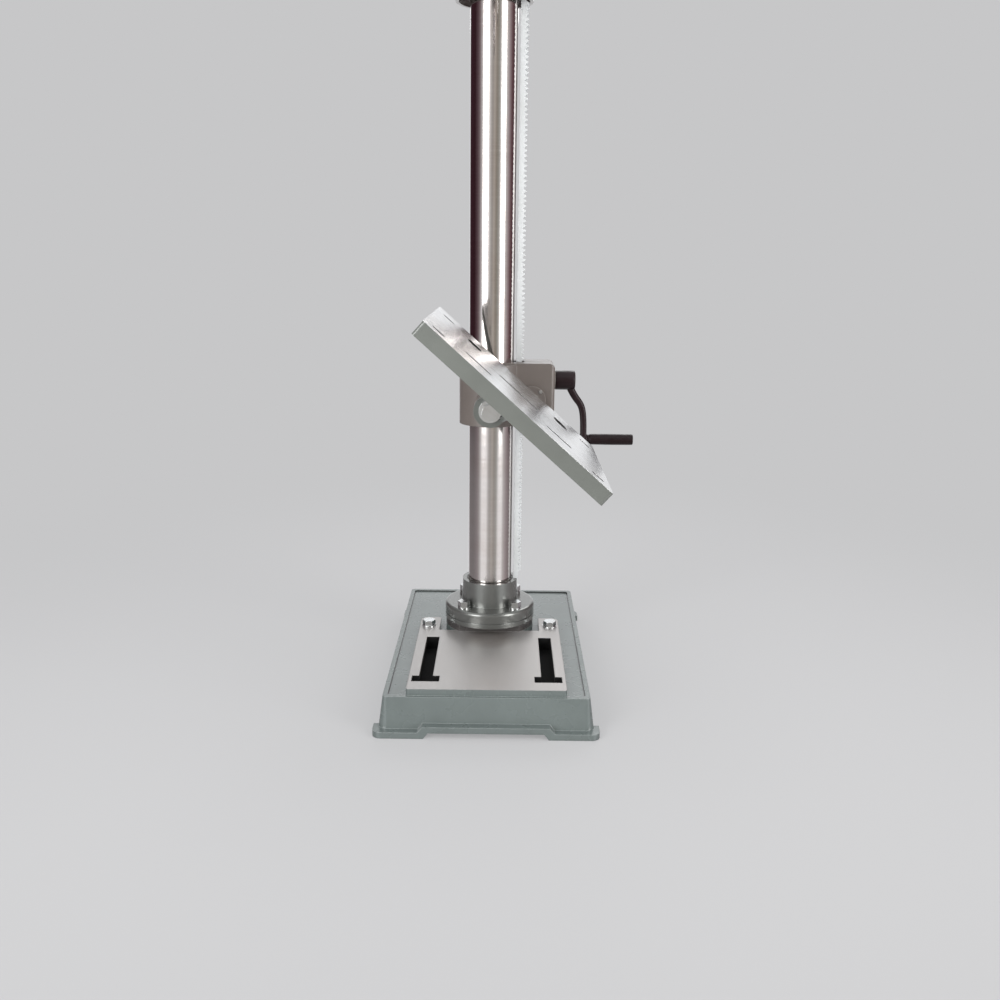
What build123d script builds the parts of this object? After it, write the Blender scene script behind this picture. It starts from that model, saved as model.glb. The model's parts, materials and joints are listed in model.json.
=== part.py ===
from build123d import *
import math
import os

# Radial drill press that stands on the floor. Millimetres, Z up, the operator stands at -Y.
# The origin is on the floor at the middle of the base; the column stands behind it.
# Shapes are drawn about the column axis and moved back by column_y when they are written.

# Fits and cuts
run = 0.05              # radial play of a shaft, quill or slide in its bore
seat = 0.3              # gap between pieces that move past each other
overrun = 3             # how far a cut runs past a face
tooth_angle = 25        # flank angle of every tooth, degrees
tooth_share = 0.46      # tooth thickness on the pitch line, as a share of the pitch
tip_share = 0.8         # tooth height above the pitch line, as a share of the module

# Base casting
column_y = 65
base_length = 656
base_width = 420
base_height = 72
base_corner = 16
base_lip = 10
base_lip_front = 16
base_foot = 38
base_lip_height = 12
base_flare = 8
base_wall = 10
base_top = 12
base_rim = 9
base_recess = 3
base_rib = 8
base_rib_lift = 14
base_long_ribs = 2
base_cross_ribs = 3
arch_rise = 11
arch_width = 213
arch_slope = 9
arch_band = 11
pad_rise = 13
pad_side = 61
pad_front_gap = 30
pad_back = 63
pad_corner = 6
ear_back = 12
ear_width = 43
ear_corner = 14
slot_side = 33
slot_front_gap = 35
slot_length = 224
slot_throat = 26
slot_throat_depth = 12
slot_channel = 46
slot_channel_height = 14
slot_entry = 52
slot_entry_length = 26
slot_wall = 6
boss_radius = 94.5
boss_rise = 14.5
boss_front = 70
base_bolt_side = 19
base_bolt_y = 35
base_bolt_radius = 8
base_bolt_head = 24
base_bolt_head_height = 10
base_bolt_length = 40
base_washer_radius = 15
base_washer_height = 2.5

# Column, its flange and the rack
column_radius = 46
column_wall = 6
column_top = 1470
flange_radius = 96
flange_thickness = 33
flange_edge = 6.5
flange_groove_height = 9
flange_groove = 2.5
flange_groove_depth = 2.5
collar_height = 51.5
collar_foot_radius = 60.5
collar_top_radius = 58.7
collar_lip = 4
flange_bolt_circle = 76
flange_bolt_count = 4
flange_bolt_radius = 6
flange_bolt_head = 23
flange_bolt_head_height = 12
flange_washer_radius = 13
flange_washer_height = 3
flange_bolt_length = 60
set_screw_radius = 5
set_screw_length = 14
set_screw_height = 35
rack_gap = 4.5
rack_thickness = 16
rack_width = 20
rack_module = 3
rack_end = 8
ring_drop = 30
ring_height = 24
ring_radius = 74
ring_skirt = 10

# Table bracket and its lifting gear
tilt_drop = 2.4
sleeve_wall = 20
sleeve_drop = 52
sleeve_height = 124
housing_out = 129
housing_front = 42
housing_back = 48
housing_below = 44
housing_above = 41
housing_corner = 8
housing_round = 12
pinion_height = 575
pinion_teeth = 12
pinion_width = 18
pinion_shaft_radius = 8
pinion_pocket_gap = 1.5
rack_channel_gap = 0.8
wheel_module = 2.3
wheel_teeth = 20
wheel_width = 8
wheel_y = 28
worm_pitch_radius = 11
worm_turns = 3
worm_shaft_radius = 8
worm_journal = 6
worm_journal_in = 52
worm_boss_radius = 19.5
worm_boss_length = 4
worm_pocket_gap = 1.2
front_cover_radius = 30
back_cover_radius = 35
cover_thickness = 5
front_screw_circle = 26
back_screw_circle = 31
cover_screw_count = 4
cover_screw_radius = 2
cover_screw_head = 3.6
cover_screw_head_height = 2.4
cover_screw_length = 9
arm_radius = 30
arm_flange_radius = 32
arm_flange_thickness = 12
arm_front = 148
lock_gap = 4
lock_lug_out = 98
lock_lug_width = 40
lock_lug_drop = 30
lock_lug_height = 50
lock_bolt_out = 82
lock_bolt_radius = 6
lock_bolt_head = 19
lock_bolt_head_height = 8
lock_hub_radius = 13
lock_hub_length = 20
lock_lever_length = 95
lock_lever_radius = 6
lock_knob_radius = 12
lock_lever_drop = 35
lock_bolt_tail = 5

# Crank
crank_gap = 0.5
crank_hub_length = 41
crank_hub_radius = 20
crank_throw = 125
crank_arm_width = 20
crank_arm_thickness = 14
crank_arm_root = 14.5
crank_arm_reach = 35
crank_arm_drop = 4.5
crank_arm_lean = 21.5
crank_arm_leave = 66
crank_arm_rise = 100
crank_boss_radius = 12
crank_boss_length = 15
crank_stud_radius = 5
crank_stud_head_radius = 8
crank_stud_head = 4
crank_grip_radius = 11.7
crank_grip_length = 97
crank_grip_edge = 2

# Table
table_tilt = 41.8
table_width = 403.5
table_depth = 407
table_back = 115
table_rim = 27
table_plate = 12
table_wall = 10
table_rib = 8
table_ribs = 2
table_corner = 5
table_rise = 77.8
table_slot = 14
corner_slot = 27
front_slot = 57
middle_slot = 92
back_slot = 46
back_slot_width = 32
corner_slot_side = 28.75
front_slot_x_share = 0.22305
back_slot_x_share = 0.26518
corner_slot_back = 75.5
corner_slot_front = 41.5
front_slot_y_share = 0.27518
middle_slot_y = 12
back_slot_y_share = 0.22604
lug_thickness = 26
lug_web_width = 64
lug_fin = 10
lug_fin_length = 120
tilt_bolt_radius = 10
tilt_bolt_head = 30
tilt_bolt_head_height = 13
tilt_bolt_depth = 45
tilt_washer_radius = 22
tilt_washer_height = 4

# Turret and ram
turret_wall = 18
turret_depth = 102
turret_cap = 14
ram_rise = 60
ram_radius = 36
ram_wall = 8
ram_front_gap = 58
ram_back = 335
ram_module = 2.5
ram_teeth = 12
ram_pitch_height = 33.5
ram_channel = 18
ram_travel = 250
ram_rack_margin = 20
ram_end = 8
turret_sleeve_wall = 18
turret_half_length = 80
turret_web_width = 88
turret_web_length = 116
ram_pinion_width = 16
ram_pinion_boss = 26
ram_pinion_boss_in = 30
ram_pinion_boss_out = 46
ram_shaft_radius = 7
wheel_rim_radius = 60
wheel_rim_thickness = 8
handwheel_x = 70
handwheel_hub_radius = 16
handwheel_hub_length = 26
handwheel_spokes = 3
handwheel_spoke_radius = 6
clamp_screw_radius = 6
clamp_hub_radius = 11
clamp_hub_length = 18
clamp_lever_length = 55
clamp_lever_radius = 5
clamp_knob_radius = 9
turret_clamp_drop = 45
ram_clamp_y = 25
clamp_boss_radius = 16
clamp_boss_length = 8

# Drill head
spindle_y = 320
head_drop = 125
head_rise = 192
head_wall = 21
socket_wall = 16
socket_length = 115
web_width = 80
web_length = 96
web_drop = 50
front_block_width = 72
front_block_depth = 62
front_block_rise = 60
feed_drop = 90
feed_boss_radius = 28
feed_boss_half = 56
feed_boss_shift = 8
quill_radius = 27
quill_stand_out = 13
quill_length = 248
quill_travel = 80
quill_room = 4
feed_module = 2
feed_teeth = 13
feed_width = 14
feed_pitch_depth = 2
quill_rack_bottom = 30
quill_rack_length = 140
feed_shaft_radius = 9
feed_hub_radius = 24
feed_hub_length = 30
feed_arm_count = 3
feed_arm_radius = 6
feed_arm_length = 120
feed_arm_lean = 12
feed_knob_radius = 14
spring_case_radius = 30
spring_case_length = 28
spindle_radius = 13
spindle_rise = 53
bearing_radius = 20
bearing_height = 16
sleeve_outer = 20
drive_sleeve_depth = 32
drive_sleeve_rise = 68
head_bearing_radius = 30
head_bearing_height = 20
stop_collar_radius = 37
stop_collar_height = 18
stop_rod_x = 60
stop_rod_shift = 20
stop_rod_radius = 5
stop_rod_reach = 148
stop_lug_lift = 47
stop_lug_height = 20
stop_lug_width = 20
stop_lug_in = 38
stop_lug_out = 70
stop_nut_radius = 11
stop_nut_height = 14
nose_length = 8
nose_radius = 16
head_bolt_radius = 5
head_bolt_head = 16
head_bolt_head_height = 7
head_bolt_length = 30
head_bolt_x = 30
clamp_bolt_gap = 75
clamp_bolt_sink = 18

# Motor, pulleys and belt guard
motor_stand_off = 8
motor_radius = 66
motor_drop = 110
motor_top_drop = 8
fan_cover_height = 22
fan_cover_radius = 60
motor_shaft_radius = 8
motor_shaft_rise = 64
motor_plate_width = 100
motor_plate_lift = 18
motor_plate_height = 76
motor_plate_thickness = 6
motor_pad_width = 60
pulley_lift = 9
pulley_step = 13
pulley_radii = [70, 58, 46, 34]
pulley_flange = 2
belt_width = 9
belt_thickness = 6
belt_groove = 4
belt_step = 1
motor_hub_radius = 16
pan_thickness = 5
pan_front_margin = 92
pan_back_margin = 84
pan_half_width = 94
pan_corner = 60
guard_height = 74
guard_wall = 3
guard_hinge_radius = 5
guard_hinge_length = 60
guard_knob_radius = 11
guard_knob_length = 22
guard_knob_neck = 5

# Chuck
chuck_drop = 28
chuck_body_height = 64
chuck_body_radius = 22
chuck_sleeve_wall = 5
chuck_sleeve_lift = 6
chuck_sleeve_height = 42
chuck_nose = 10
jaw_count = 3
jaw_radius = 3.5
jaw_stand_out = 26
jaw_tip_out = 6
jaw_length = 44
jaw_lean = 12
jaw_room = 14

# Switch
switch_width = 60
switch_height = 90
switch_depth = 14
switch_lift = 10
button_radius = 9
button_length = 12
button_spacing = 40
button_collar = 3

# Places worked out from the sizes above
pad_top = base_height + pad_rise
boss_top = pad_top + boss_rise
flange_top = boss_top + flange_thickness
collar_top = flange_top + collar_height
worm_height = pinion_height + wheel_module * wheel_teeth / 2 + worm_pitch_radius
turret_top = column_top + turret_cap
feed_y = spindle_y - quill_radius + feed_pitch_depth - feed_module * feed_teeth / 2
table_front = table_back + table_depth
table_middle = (table_back + table_front) / 2
head_front = spindle_y + front_block_depth
housing_top = worm_height + housing_above
tilt_height = pinion_height - tilt_drop
sleeve_bottom = pinion_height - sleeve_drop
housing_bottom = pinion_height - housing_below
lock_lug_bottom = pinion_height - lock_lug_drop
lock_height = lock_lug_bottom + lock_lug_height / 2
turret_bottom = column_top - turret_depth
ring_bottom = turret_bottom - ring_drop
ram_height = column_top + ram_rise
turret_clamp_height = column_top - turret_clamp_drop
head_bottom = ram_height - head_drop
head_top = ram_height + head_rise
web_bottom = ram_height - web_drop
front_block_bottom = ram_height + front_block_rise
feed_height = ram_height - feed_drop
quill_bottom = head_bottom - quill_stand_out
spindle_top = head_top + spindle_rise
drive_sleeve_bottom = head_top - drive_sleeve_depth
drive_sleeve_top = head_top + drive_sleeve_rise
stop_lug_bottom = head_bottom + stop_lug_lift
stop_rod_top = stop_lug_bottom + stop_rod_reach
motor_bottom = head_top - motor_drop
motor_top = head_top - motor_top_drop
motor_shaft_top = head_top + motor_shaft_rise
motor_plate_bottom = motor_bottom + motor_plate_lift
pulley_bottom = head_top + pulley_lift
chuck_top = quill_bottom - chuck_drop
chuck_bottom = chuck_top - chuck_body_height
chuck_sleeve_bottom = chuck_bottom + chuck_sleeve_lift
jaw_tip = chuck_bottom - jaw_stand_out
switch_bottom = front_block_bottom + switch_lift
crank_in = housing_out + worm_boss_length + crank_gap
crank_arm_start = crank_in + crank_hub_length - crank_arm_root
crank_arm_end = crank_arm_start + crank_arm_reach
rack_back = column_radius + rack_gap
rack_face = rack_back + rack_thickness
sleeve_radius = column_radius + sleeve_wall
turret_radius = column_radius + turret_wall
turret_sleeve_radius = ram_radius + turret_sleeve_wall
socket_radius = ram_radius + socket_wall
head_radius = quill_radius + head_wall
ram_front = spindle_y - ram_front_gap
socket_back = spindle_y - socket_length
web_back = spindle_y - web_length
clamp_bolt_y = spindle_y - clamp_bolt_gap
feed_boss_y = feed_y + feed_boss_shift
stop_rod_y = spindle_y + stop_rod_shift
motor_y = web_back - motor_radius - motor_stand_off
pan_front = spindle_y + pan_front_margin
pan_back = motor_y - pan_back_margin
lug_radius = arm_flange_radius
corner_slot_x = table_width / 2 - corner_slot_side
front_slot_x = table_width * front_slot_x_share
back_slot_x = table_width * back_slot_x_share
corner_back_y = table_depth / 2 - corner_slot_back
corner_front_y = table_depth / 2 - corner_slot_front
front_slot_y = table_depth * front_slot_y_share
back_slot_y = table_depth * back_slot_y_share
pad_width = base_width - 2 * pad_side
pad_front = column_y + base_length / 2 - pad_front_gap
ear_inner = pad_width / 2 - ear_width
slot_x = pad_width / 2 - slot_side
slot_front = pad_front - slot_front_gap
slot_back = slot_front - slot_length
base_bolt_x = pad_width / 2 - base_bolt_side
pinion_x = rack_face - rack_module + rack_module * pinion_teeth / 2
sleeve_top = sleeve_bottom + sleeve_height
ram_pinion_height = ram_height + ram_pitch_height + ram_module * ram_teeth / 2
spindle_bottom = chuck_top
pulley_top = pulley_bottom + len(pulley_radii) * pulley_step
guard_bottom = head_top + pan_thickness + seat

BOTTOM = (Align.CENTER, Align.CENTER, Align.MIN)


def cyl_z(radius, low, high, x=0, y=0):
    """A cylinder along Z from low to high."""
    return Pos(x, y, low) * Cylinder(radius, high - low, align=BOTTOM)


def cyl_x(radius, left, right, y=0, z=0):
    """A cylinder along X from left to right."""
    return Pos(left, y, z) * Rot(0, 90, 0) * Cylinder(radius, right - left, align=BOTTOM)


def cyl_y(radius, front, back, x=0, z=0):
    """A cylinder along Y from front to back."""
    return Pos(x, back, z) * Rot(90, 0, 0) * Cylinder(radius, back - front, align=BOTTOM)


def block(left, right, front, back, low, high):
    """A box between two corners."""
    middle = Pos((left + right) / 2, (front + back) / 2, (low + high) / 2)
    return middle * Box(right - left, back - front, high - low)


def slab(width, depth, corner, low, high, y=0):
    """An upright block with rounded corners."""
    return Pos(0, y, low) * extrude(RectangleRounded(width, depth, corner), high - low)


def hex_z(flats, low, high, x=0, y=0):
    """A hexagonal head along Z."""
    outline = RegularPolygon(flats / 2, 6, major_radius=False)
    return Pos(x, y, low) * extrude(outline, high - low)


def hex_y(flats, front, back, x=0, z=0):
    """A hexagonal head along Y."""
    outline = RegularPolygon(flats / 2, 6, major_radius=False)
    return Pos(x, back, z) * Rot(90, 0, 0) * extrude(outline, back - front)


def hex_x(flats, left, right, y=0, z=0):
    """A hexagonal head along X."""
    outline = RegularPolygon(flats / 2, 6, major_radius=False)
    return Pos(left, y, z) * Rot(0, 90, 0) * extrude(outline, right - left)


def raised_y(outline, front, back):
    """A flat outline, drawn in x and z, raised along Y."""
    return Pos(0, back, 0) * extrude(Rot(90, 0, 0) * outline, back - front, dir=(0, -1, 0))


def prism_y(points, front, back):
    """A prism along Y whose outline is given as (x, z) points."""
    return raised_y(make_face(Polyline(*points, close=True)), front, back)


def prism_x(points, left, right):
    """A prism along X whose outline is given as (y, z) points."""
    face = make_face(Polyline(*[Vector(left, y, z) for y, z in points], close=True))
    return extrude(face, right - left, dir=(1, 0, 0))


def joined(parts):
    """One solid from several that touch or overlap."""
    result = parts[0]
    for part in parts[1:]:
        result = result + part
    return result


def save(node, *shapes):
    """Write the solids of one node at their place over the base."""
    solids = [s for shape in shapes for s in (Pos(0, column_y, 0) * shape).solids()]
    body = solids[0] if len(solids) == 1 else Compound(children=solids)
    export_step(body, f"parts/{node}.step")


def involute(angle):
    """The involute function of an angle in radians."""
    return math.tan(angle) - angle


def gear_outline(module, teeth, first):
    """Points of a spur gear's outline, with one tooth pointing at the angle first in degrees."""
    pitch_radius = module * teeth / 2
    base_radius = pitch_radius * math.cos(math.radians(tooth_angle))
    tip_radius = pitch_radius + module * tip_share
    root_radius = pitch_radius - module
    half_at_pitch = tooth_share * math.pi / teeth
    zero = half_at_pitch + involute(math.radians(tooth_angle))
    flank = [(root_radius, zero - involute(0))]
    steps = 4
    for i in range(steps + 1):
        radius = max(base_radius, root_radius) + (tip_radius - max(base_radius, root_radius)) * i / steps
        flank.append((radius, zero - involute(math.acos(min(1, base_radius / radius)))))
    points = []
    for k in range(teeth):
        middle = math.radians(first) + 2 * math.pi * k / teeth
        side = [(r, middle - a) for r, a in flank] + [(r, middle + a) for r, a in reversed(flank)]
        points += [(r * math.cos(a), r * math.sin(a)) for r, a in side]
    return points


def rack_outline(module, face, back, low, high, end, space):
    """Points (out, along) of a toothed bar; a tooth space lies at the place named space."""
    pitch = math.pi * module
    lean = math.tan(math.radians(tooth_angle))
    line = face - module * tip_share
    half = tooth_share * pitch / 2
    root_half, tip_half = half + module * lean, half - module * tip_share * lean
    points = [(back, low), (line - module, low)]
    first = math.ceil((low + end + root_half - space) / pitch - 1 / 2)
    last = math.floor((high - end - root_half - space) / pitch - 1 / 2)
    for k in range(first, last + 1):
        middle = space + (k + 1 / 2) * pitch
        points += [(line - module, middle - root_half), (face, middle - tip_half)]
        points += [(face, middle + tip_half), (line - module, middle + root_half)]
    return points + [(line - module, high), (back, high)]


def make_base():
    """The hollow base casting with its machined, slotted pad and the column boss."""
    shift = -column_y
    skirt_width, skirt_length = base_width - 2 * base_lip, base_length - 2 * base_lip_front
    skirt_height = base_height - base_lip_height
    lean = math.degrees(math.atan(base_flare / skirt_height))
    top_width, top_length = skirt_width - 2 * base_flare, skirt_length - 2 * base_flare
    edge, slope, rise = arch_width / 2, arch_slope, arch_rise
    step = edge + arch_band
    side = base_width / 2
    raised = base_lip_height + rise
    lip_points = [(-side, 0), (side, 0), (side, base_lip_height), (step + slope, base_lip_height),
                  (step, raised), (-step, raised), (-step - slope, base_lip_height), (-side, base_lip_height)]
    lip = prism_y(lip_points, shift - base_length / 2, shift + base_length / 2)
    lip = lip & slab(base_width, base_length, base_corner, 0, base_height, shift)
    foot = base_length / 2 - base_foot
    for x in (-side - overrun, skirt_width / 2):
        lip -= block(x, x + base_lip + overrun, shift - foot, shift + foot, -overrun, base_height)
    skirt = Pos(0, shift, base_lip_height) * extrude(
        RectangleRounded(skirt_width, skirt_length, base_corner), skirt_height, taper=lean)
    outer = lip + skirt
    arch = prism_y([(-edge - slope, -overrun), (-edge - slope, 0), (-edge, rise), (edge, rise),
                    (edge + slope, 0), (edge + slope, -overrun)],
                   shift - base_length / 2 - overrun, shift + base_length / 2 + overrun)
    room_width, room_length = skirt_width - 2 * base_wall, skirt_length - 2 * base_wall
    room_corner = base_corner - base_wall
    room = slab(room_width, room_length, room_corner, -overrun, base_lip_height, shift)
    room += Pos(0, shift, base_lip_height) * extrude(
        RectangleRounded(room_width, room_length, room_corner), skirt_height - base_top, taper=lean)
    body = outer - arch - room
    inside = room & block(-side, side, shift - base_length, shift + base_length, 0, base_height)
    ribs = []
    for i in range(base_long_ribs):
        x = room_width * ((i + 1) / (base_long_ribs + 1) - 1 / 2)
        ribs.append(block(x - base_rib / 2, x + base_rib / 2, shift - base_length / 2,
                          shift + base_length / 2, base_rib_lift, base_height))
    for i in range(base_cross_ribs):
        y = shift + room_length * ((i + 1) / (base_cross_ribs + 1) - 1 / 2)
        low = 0 if i == base_cross_ribs // 2 else base_rib_lift
        ribs.append(block(-side, side, y - base_rib / 2, y + base_rib / 2, low, base_height))
    channel_floor = pad_top - slot_throat_depth - slot_channel_height
    for x in (-slot_x, slot_x):
        half = slot_channel / 2 + slot_wall
        ribs.append(block(x - half, x + half, -slot_front - slot_wall, -slot_back + slot_wall,
                          channel_floor - slot_wall, base_height))
    for rib in ribs:
        body += rib & inside
    body -= slab(top_width - 2 * base_rim, top_length - 2 * base_rim, room_corner,
                 base_height - base_recess, base_height + overrun, shift)
    plate = base_height - base_top
    pad = Pos(0, -(pad_front + pad_back) / 2, 0) * Rectangle(pad_width, pad_front - pad_back)
    ear_length = pad_back + ear_back
    for sign in (-1, 1):
        pad += Pos(sign * (ear_inner + ear_width / 2), (ear_back - pad_back) / 2, 0) * Rectangle(
            ear_width, ear_length)
    pad = fillet(pad.vertices().group_by(Axis.Y)[0], pad_corner)
    back = pad.vertices().group_by(Axis.Y)[-1].sort_by(Axis.X)
    pad = fillet([back[0], back[-1]], ear_corner)
    body += Pos(0, 0, plate) * extrude(pad, pad_top - plate)
    boss = cyl_z(boss_radius, plate, boss_top)
    body += boss - block(-boss_radius, boss_radius, -boss_radius - overrun, -boss_front,
                         pad_top, boss_top + overrun)
    for x in (-slot_x, slot_x):
        body -= slot_cut(x, channel_floor)
    for x in (-base_bolt_x, base_bolt_x):
        body -= cyl_z(base_bolt_radius + run, 0, pad_top + overrun, x, -base_bolt_y)
    for x, y in bolt_places():
        body -= cyl_z(flange_bolt_radius + run, 0, boss_top + overrun, x, y)
    return body


def slot_cut(x, floor):
    """The T-shaped slot of the pad: throat, undercut channel and the wide entry at the front."""
    roof = pad_top - slot_throat_depth
    cut = block(x - slot_throat / 2, x + slot_throat / 2, -slot_front, -slot_back, floor, pad_top + overrun)
    cut += block(x - slot_channel / 2, x + slot_channel / 2, -slot_front, -slot_back, floor, roof)
    cut += block(x - slot_entry / 2, x + slot_entry / 2, -slot_front, -slot_front + slot_entry_length,
                 floor, pad_top + overrun)
    return cut


def bolt_places():
    """The four flange bolts, between the machine's axes."""
    turn = 2 * math.pi / flange_bolt_count
    return [(flange_bolt_circle * math.cos(turn * (k + 1 / 2)), flange_bolt_circle * math.sin(turn * (k + 1 / 2)))
            for k in range(flange_bolt_count)]


def base_bolt(x):
    """A big hexagon bolt with its washer in an ear of the pad."""
    seat_top = pad_top + base_washer_height
    bolt = cyl_z(base_bolt_radius, pad_top - base_bolt_length, seat_top, x, -base_bolt_y)
    bolt += cyl_z(base_washer_radius, pad_top, seat_top, x, -base_bolt_y)
    head = hex_z(base_bolt_head, seat_top, seat_top + base_bolt_head_height, x, -base_bolt_y)
    crown = Pos(x, -base_bolt_y, seat_top) * Cone(
        base_bolt_head / 2 + base_bolt_head_height, base_bolt_head / 2 - base_washer_height,
        base_bolt_head_height + base_washer_height, align=BOTTOM)
    return bolt + (head & crown)


def make_flange():
    """The column flange with its collar."""
    body = fillet(cyl_z(flange_radius, boss_top, flange_top).edges().group_by(Axis.Z)[-1], flange_edge)
    body += Pos(0, 0, flange_top) * Cone(collar_foot_radius, collar_top_radius, collar_height, align=BOTTOM)
    groove_low = boss_top + flange_groove_height
    groove = cyl_z(flange_radius + overrun, groove_low, groove_low + flange_groove)
    body -= groove - cyl_z(flange_radius - flange_groove_depth, groove_low, groove_low + flange_groove)
    body -= cyl_z(column_radius + run, boss_top - overrun, collar_top + overrun)
    body -= Pos(0, 0, collar_top - collar_lip) * Cone(
        column_radius + run, column_radius + run + collar_lip, collar_lip, align=BOTTOM)
    for x, y in bolt_places():
        body -= cyl_z(flange_bolt_radius + run, boss_top - overrun, flange_top + overrun, x, y)
    body -= cyl_y(set_screw_radius + run, column_radius, collar_foot_radius + overrun,
                  0, flange_top + set_screw_height)
    return body


def flange_bolt(x, y):
    """A hexagon bolt of the column flange with its washer."""
    seat_top = flange_top + flange_washer_height
    bolt = cyl_z(flange_bolt_radius, flange_top - flange_bolt_length, seat_top, x, y)
    bolt += cyl_z(flange_washer_radius, flange_top, seat_top, x, y)
    return bolt + hex_z(flange_bolt_head, seat_top, seat_top + flange_bolt_head_height, x, y)


def make_column():
    """The ground steel column tube."""
    inner = column_radius - column_wall
    return cyl_z(column_radius, boss_top, column_top) - cyl_z(inner, boss_top - overrun, column_top + overrun)


def make_rack():
    """The lifting rack beside the column, teeth outwards."""
    low, high = collar_top + seat, ring_bottom - seat
    face = rack_face - rack_module + rack_module * tip_share
    points = rack_outline(rack_module, face, rack_back, low, high, rack_end, pinion_height)
    return prism_y(points, -rack_width / 2, rack_width / 2)


def make_ring():
    """The ring that keeps the rack's top end beside the column."""
    body = cyl_z(ring_radius, ring_bottom - ring_skirt, ring_bottom + ring_height)
    body -= cyl_z(column_radius + run, ring_bottom - ring_skirt - overrun, ring_bottom + ring_height + overrun)
    room = math.hypot(rack_face, rack_width / 2) + seat
    body -= cyl_z(room, ring_bottom - ring_skirt - overrun, ring_bottom)
    body -= cyl_y(set_screw_radius + run, column_radius, ring_radius + overrun, 0, ring_bottom + ring_height / 2)
    return body


def set_screw(height, outer):
    """A socket set screw that bears on the back of the column."""
    body = cyl_y(set_screw_radius, column_radius + run, outer, 0, height)
    return body - hex_y(set_screw_radius, outer - set_screw_radius, outer + overrun, 0, height)


def make_bracket():
    """The table bracket: split sleeve, gear housing, lock lugs and the tilt arm."""
    body = cyl_z(sleeve_radius, sleeve_bottom, sleeve_top) + gear_housing()
    flange_back = -arm_front + arm_flange_thickness
    body += cyl_y(arm_radius, flange_back, 0, 0, tilt_height)
    body += cyl_y(arm_flange_radius, -arm_front, flange_back, 0, tilt_height)
    body += block(-lock_lug_width / 2, lock_lug_width / 2, 0, lock_lug_out, lock_lug_bottom,
                  lock_lug_bottom + lock_lug_height)
    body -= cyl_z(column_radius + run, sleeve_bottom - overrun, sleeve_top + overrun)
    side = rack_width / 2 + rack_channel_gap
    body -= block(0, rack_face + rack_channel_gap, -side, side, sleeve_bottom - overrun, sleeve_top + overrun)
    body -= block(-lock_gap / 2, lock_gap / 2, 0, lock_lug_out + overrun, sleeve_bottom - overrun,
                  sleeve_top + overrun)
    body -= cyl_x(lock_bolt_radius + seat, -lock_lug_width, lock_lug_width, lock_bolt_out, lock_height)
    body -= cyl_y(tilt_bolt_radius + run, -arm_front - overrun, -arm_front + tilt_bolt_depth, 0, tilt_height)
    pinion_pocket = rack_module * pinion_teeth / 2 + rack_module + pinion_pocket_gap
    wheel_pocket = wheel_module * wheel_teeth / 2 + wheel_module + pinion_pocket_gap
    wall = wheel_y - wheel_width / 2 - pinion_pocket_gap
    body -= cyl_y(pinion_pocket, -housing_front - overrun, pinion_width / 2 + pinion_pocket_gap,
                  pinion_x, pinion_height)
    body -= cyl_y(pinion_shaft_radius + run, -housing_front, housing_back, pinion_x, pinion_height)
    body -= cyl_y(wheel_pocket, wall, housing_back + overrun, pinion_x, pinion_height)
    worm_pocket = worm_pitch_radius + wheel_module + worm_pocket_gap
    half = (worm_turns / 2 + 1 / 2) * math.pi * wheel_module + pinion_pocket_gap
    body -= cyl_x(worm_pocket, pinion_x - half, pinion_x + half, wheel_y, worm_height)
    body -= cyl_x(worm_shaft_radius + run, pinion_x, crank_in + overrun, wheel_y, worm_height)
    body -= cyl_x(worm_journal + run, worm_journal_in, pinion_x, wheel_y, worm_height)
    for x, z in screw_places(front_screw_circle):
        body -= cyl_y(cover_screw_radius + run, -housing_front - overrun, -housing_front + cover_screw_length, x, z)
    for x, z in screw_places(back_screw_circle):
        body -= cyl_y(cover_screw_radius + run, housing_back - cover_screw_length, housing_back + overrun, x, z)
    return body


def gear_housing():
    """The housing of worm and pinion, rounded along its outer top edge, with the boss of the worm's shaft."""
    width, depth = housing_out + housing_corner, housing_front + housing_back
    middle = (housing_out - housing_corner) / 2
    side = Pos(middle, (housing_bottom + housing_top) / 2) * Rectangle(width, housing_top - housing_bottom)
    side = fillet(side.vertices().group_by(Axis.Y)[-1].sort_by(Axis.X)[-1], housing_round)
    upright = Pos(middle, (housing_back - housing_front) / 2, housing_bottom) * extrude(
        RectangleRounded(width, depth, housing_corner), housing_top - housing_bottom)
    body = upright & raised_y(side, -housing_front, housing_back)
    return body + cyl_x(worm_boss_radius, middle, housing_out + worm_boss_length, wheel_y, worm_height)


def screw_places(circle):
    """The screws round a gear cover, as (x, z)."""
    turn = 2 * math.pi / cover_screw_count
    return [(pinion_x + circle * math.cos(turn * (k + 1 / 2)), pinion_height + circle * math.sin(turn * (k + 1 / 2)))
            for k in range(cover_screw_count)]


def gear_cover(radius, circle, front):
    """A round cover of the gear housing, which also carries the pinion shaft's end."""
    back = front + cover_thickness
    body = cyl_y(radius, front, back, pinion_x, pinion_height)
    body -= cyl_y(pinion_shaft_radius + run, front - overrun, back + overrun, pinion_x, pinion_height)
    for x, z in screw_places(circle):
        body -= cyl_y(cover_screw_radius + run, front - overrun, back + overrun, x, z)
    return body


def cover_screws(circle, face, outwards):
    """The cap screws of one cover; outwards is -1 at the front and 1 at the back."""
    screws = []
    for x, z in screw_places(circle):
        tip = face - outwards * (cover_screw_length - seat)
        head = face + outwards * (cover_thickness + cover_screw_head_height)
        under = face + outwards * cover_thickness
        screw = cyl_y(cover_screw_radius, min(tip, under), max(tip, under), x, z)
        screws.append(screw + cyl_y(cover_screw_head, min(head, under), max(head, under), x, z))
    return screws


def make_pinion_shaft():
    """The shaft with the pinion cut on it, which climbs the rack."""
    outline = gear_outline(rack_module, pinion_teeth, 180)
    points = [(pinion_x + x, pinion_height + z) for x, z in outline]
    gear = prism_y(points, -pinion_width / 2, pinion_width / 2)
    end = housing_front + cover_thickness
    tail = housing_back + cover_thickness
    return gear + cyl_y(pinion_shaft_radius, -end, tail, pinion_x, pinion_height)


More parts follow.
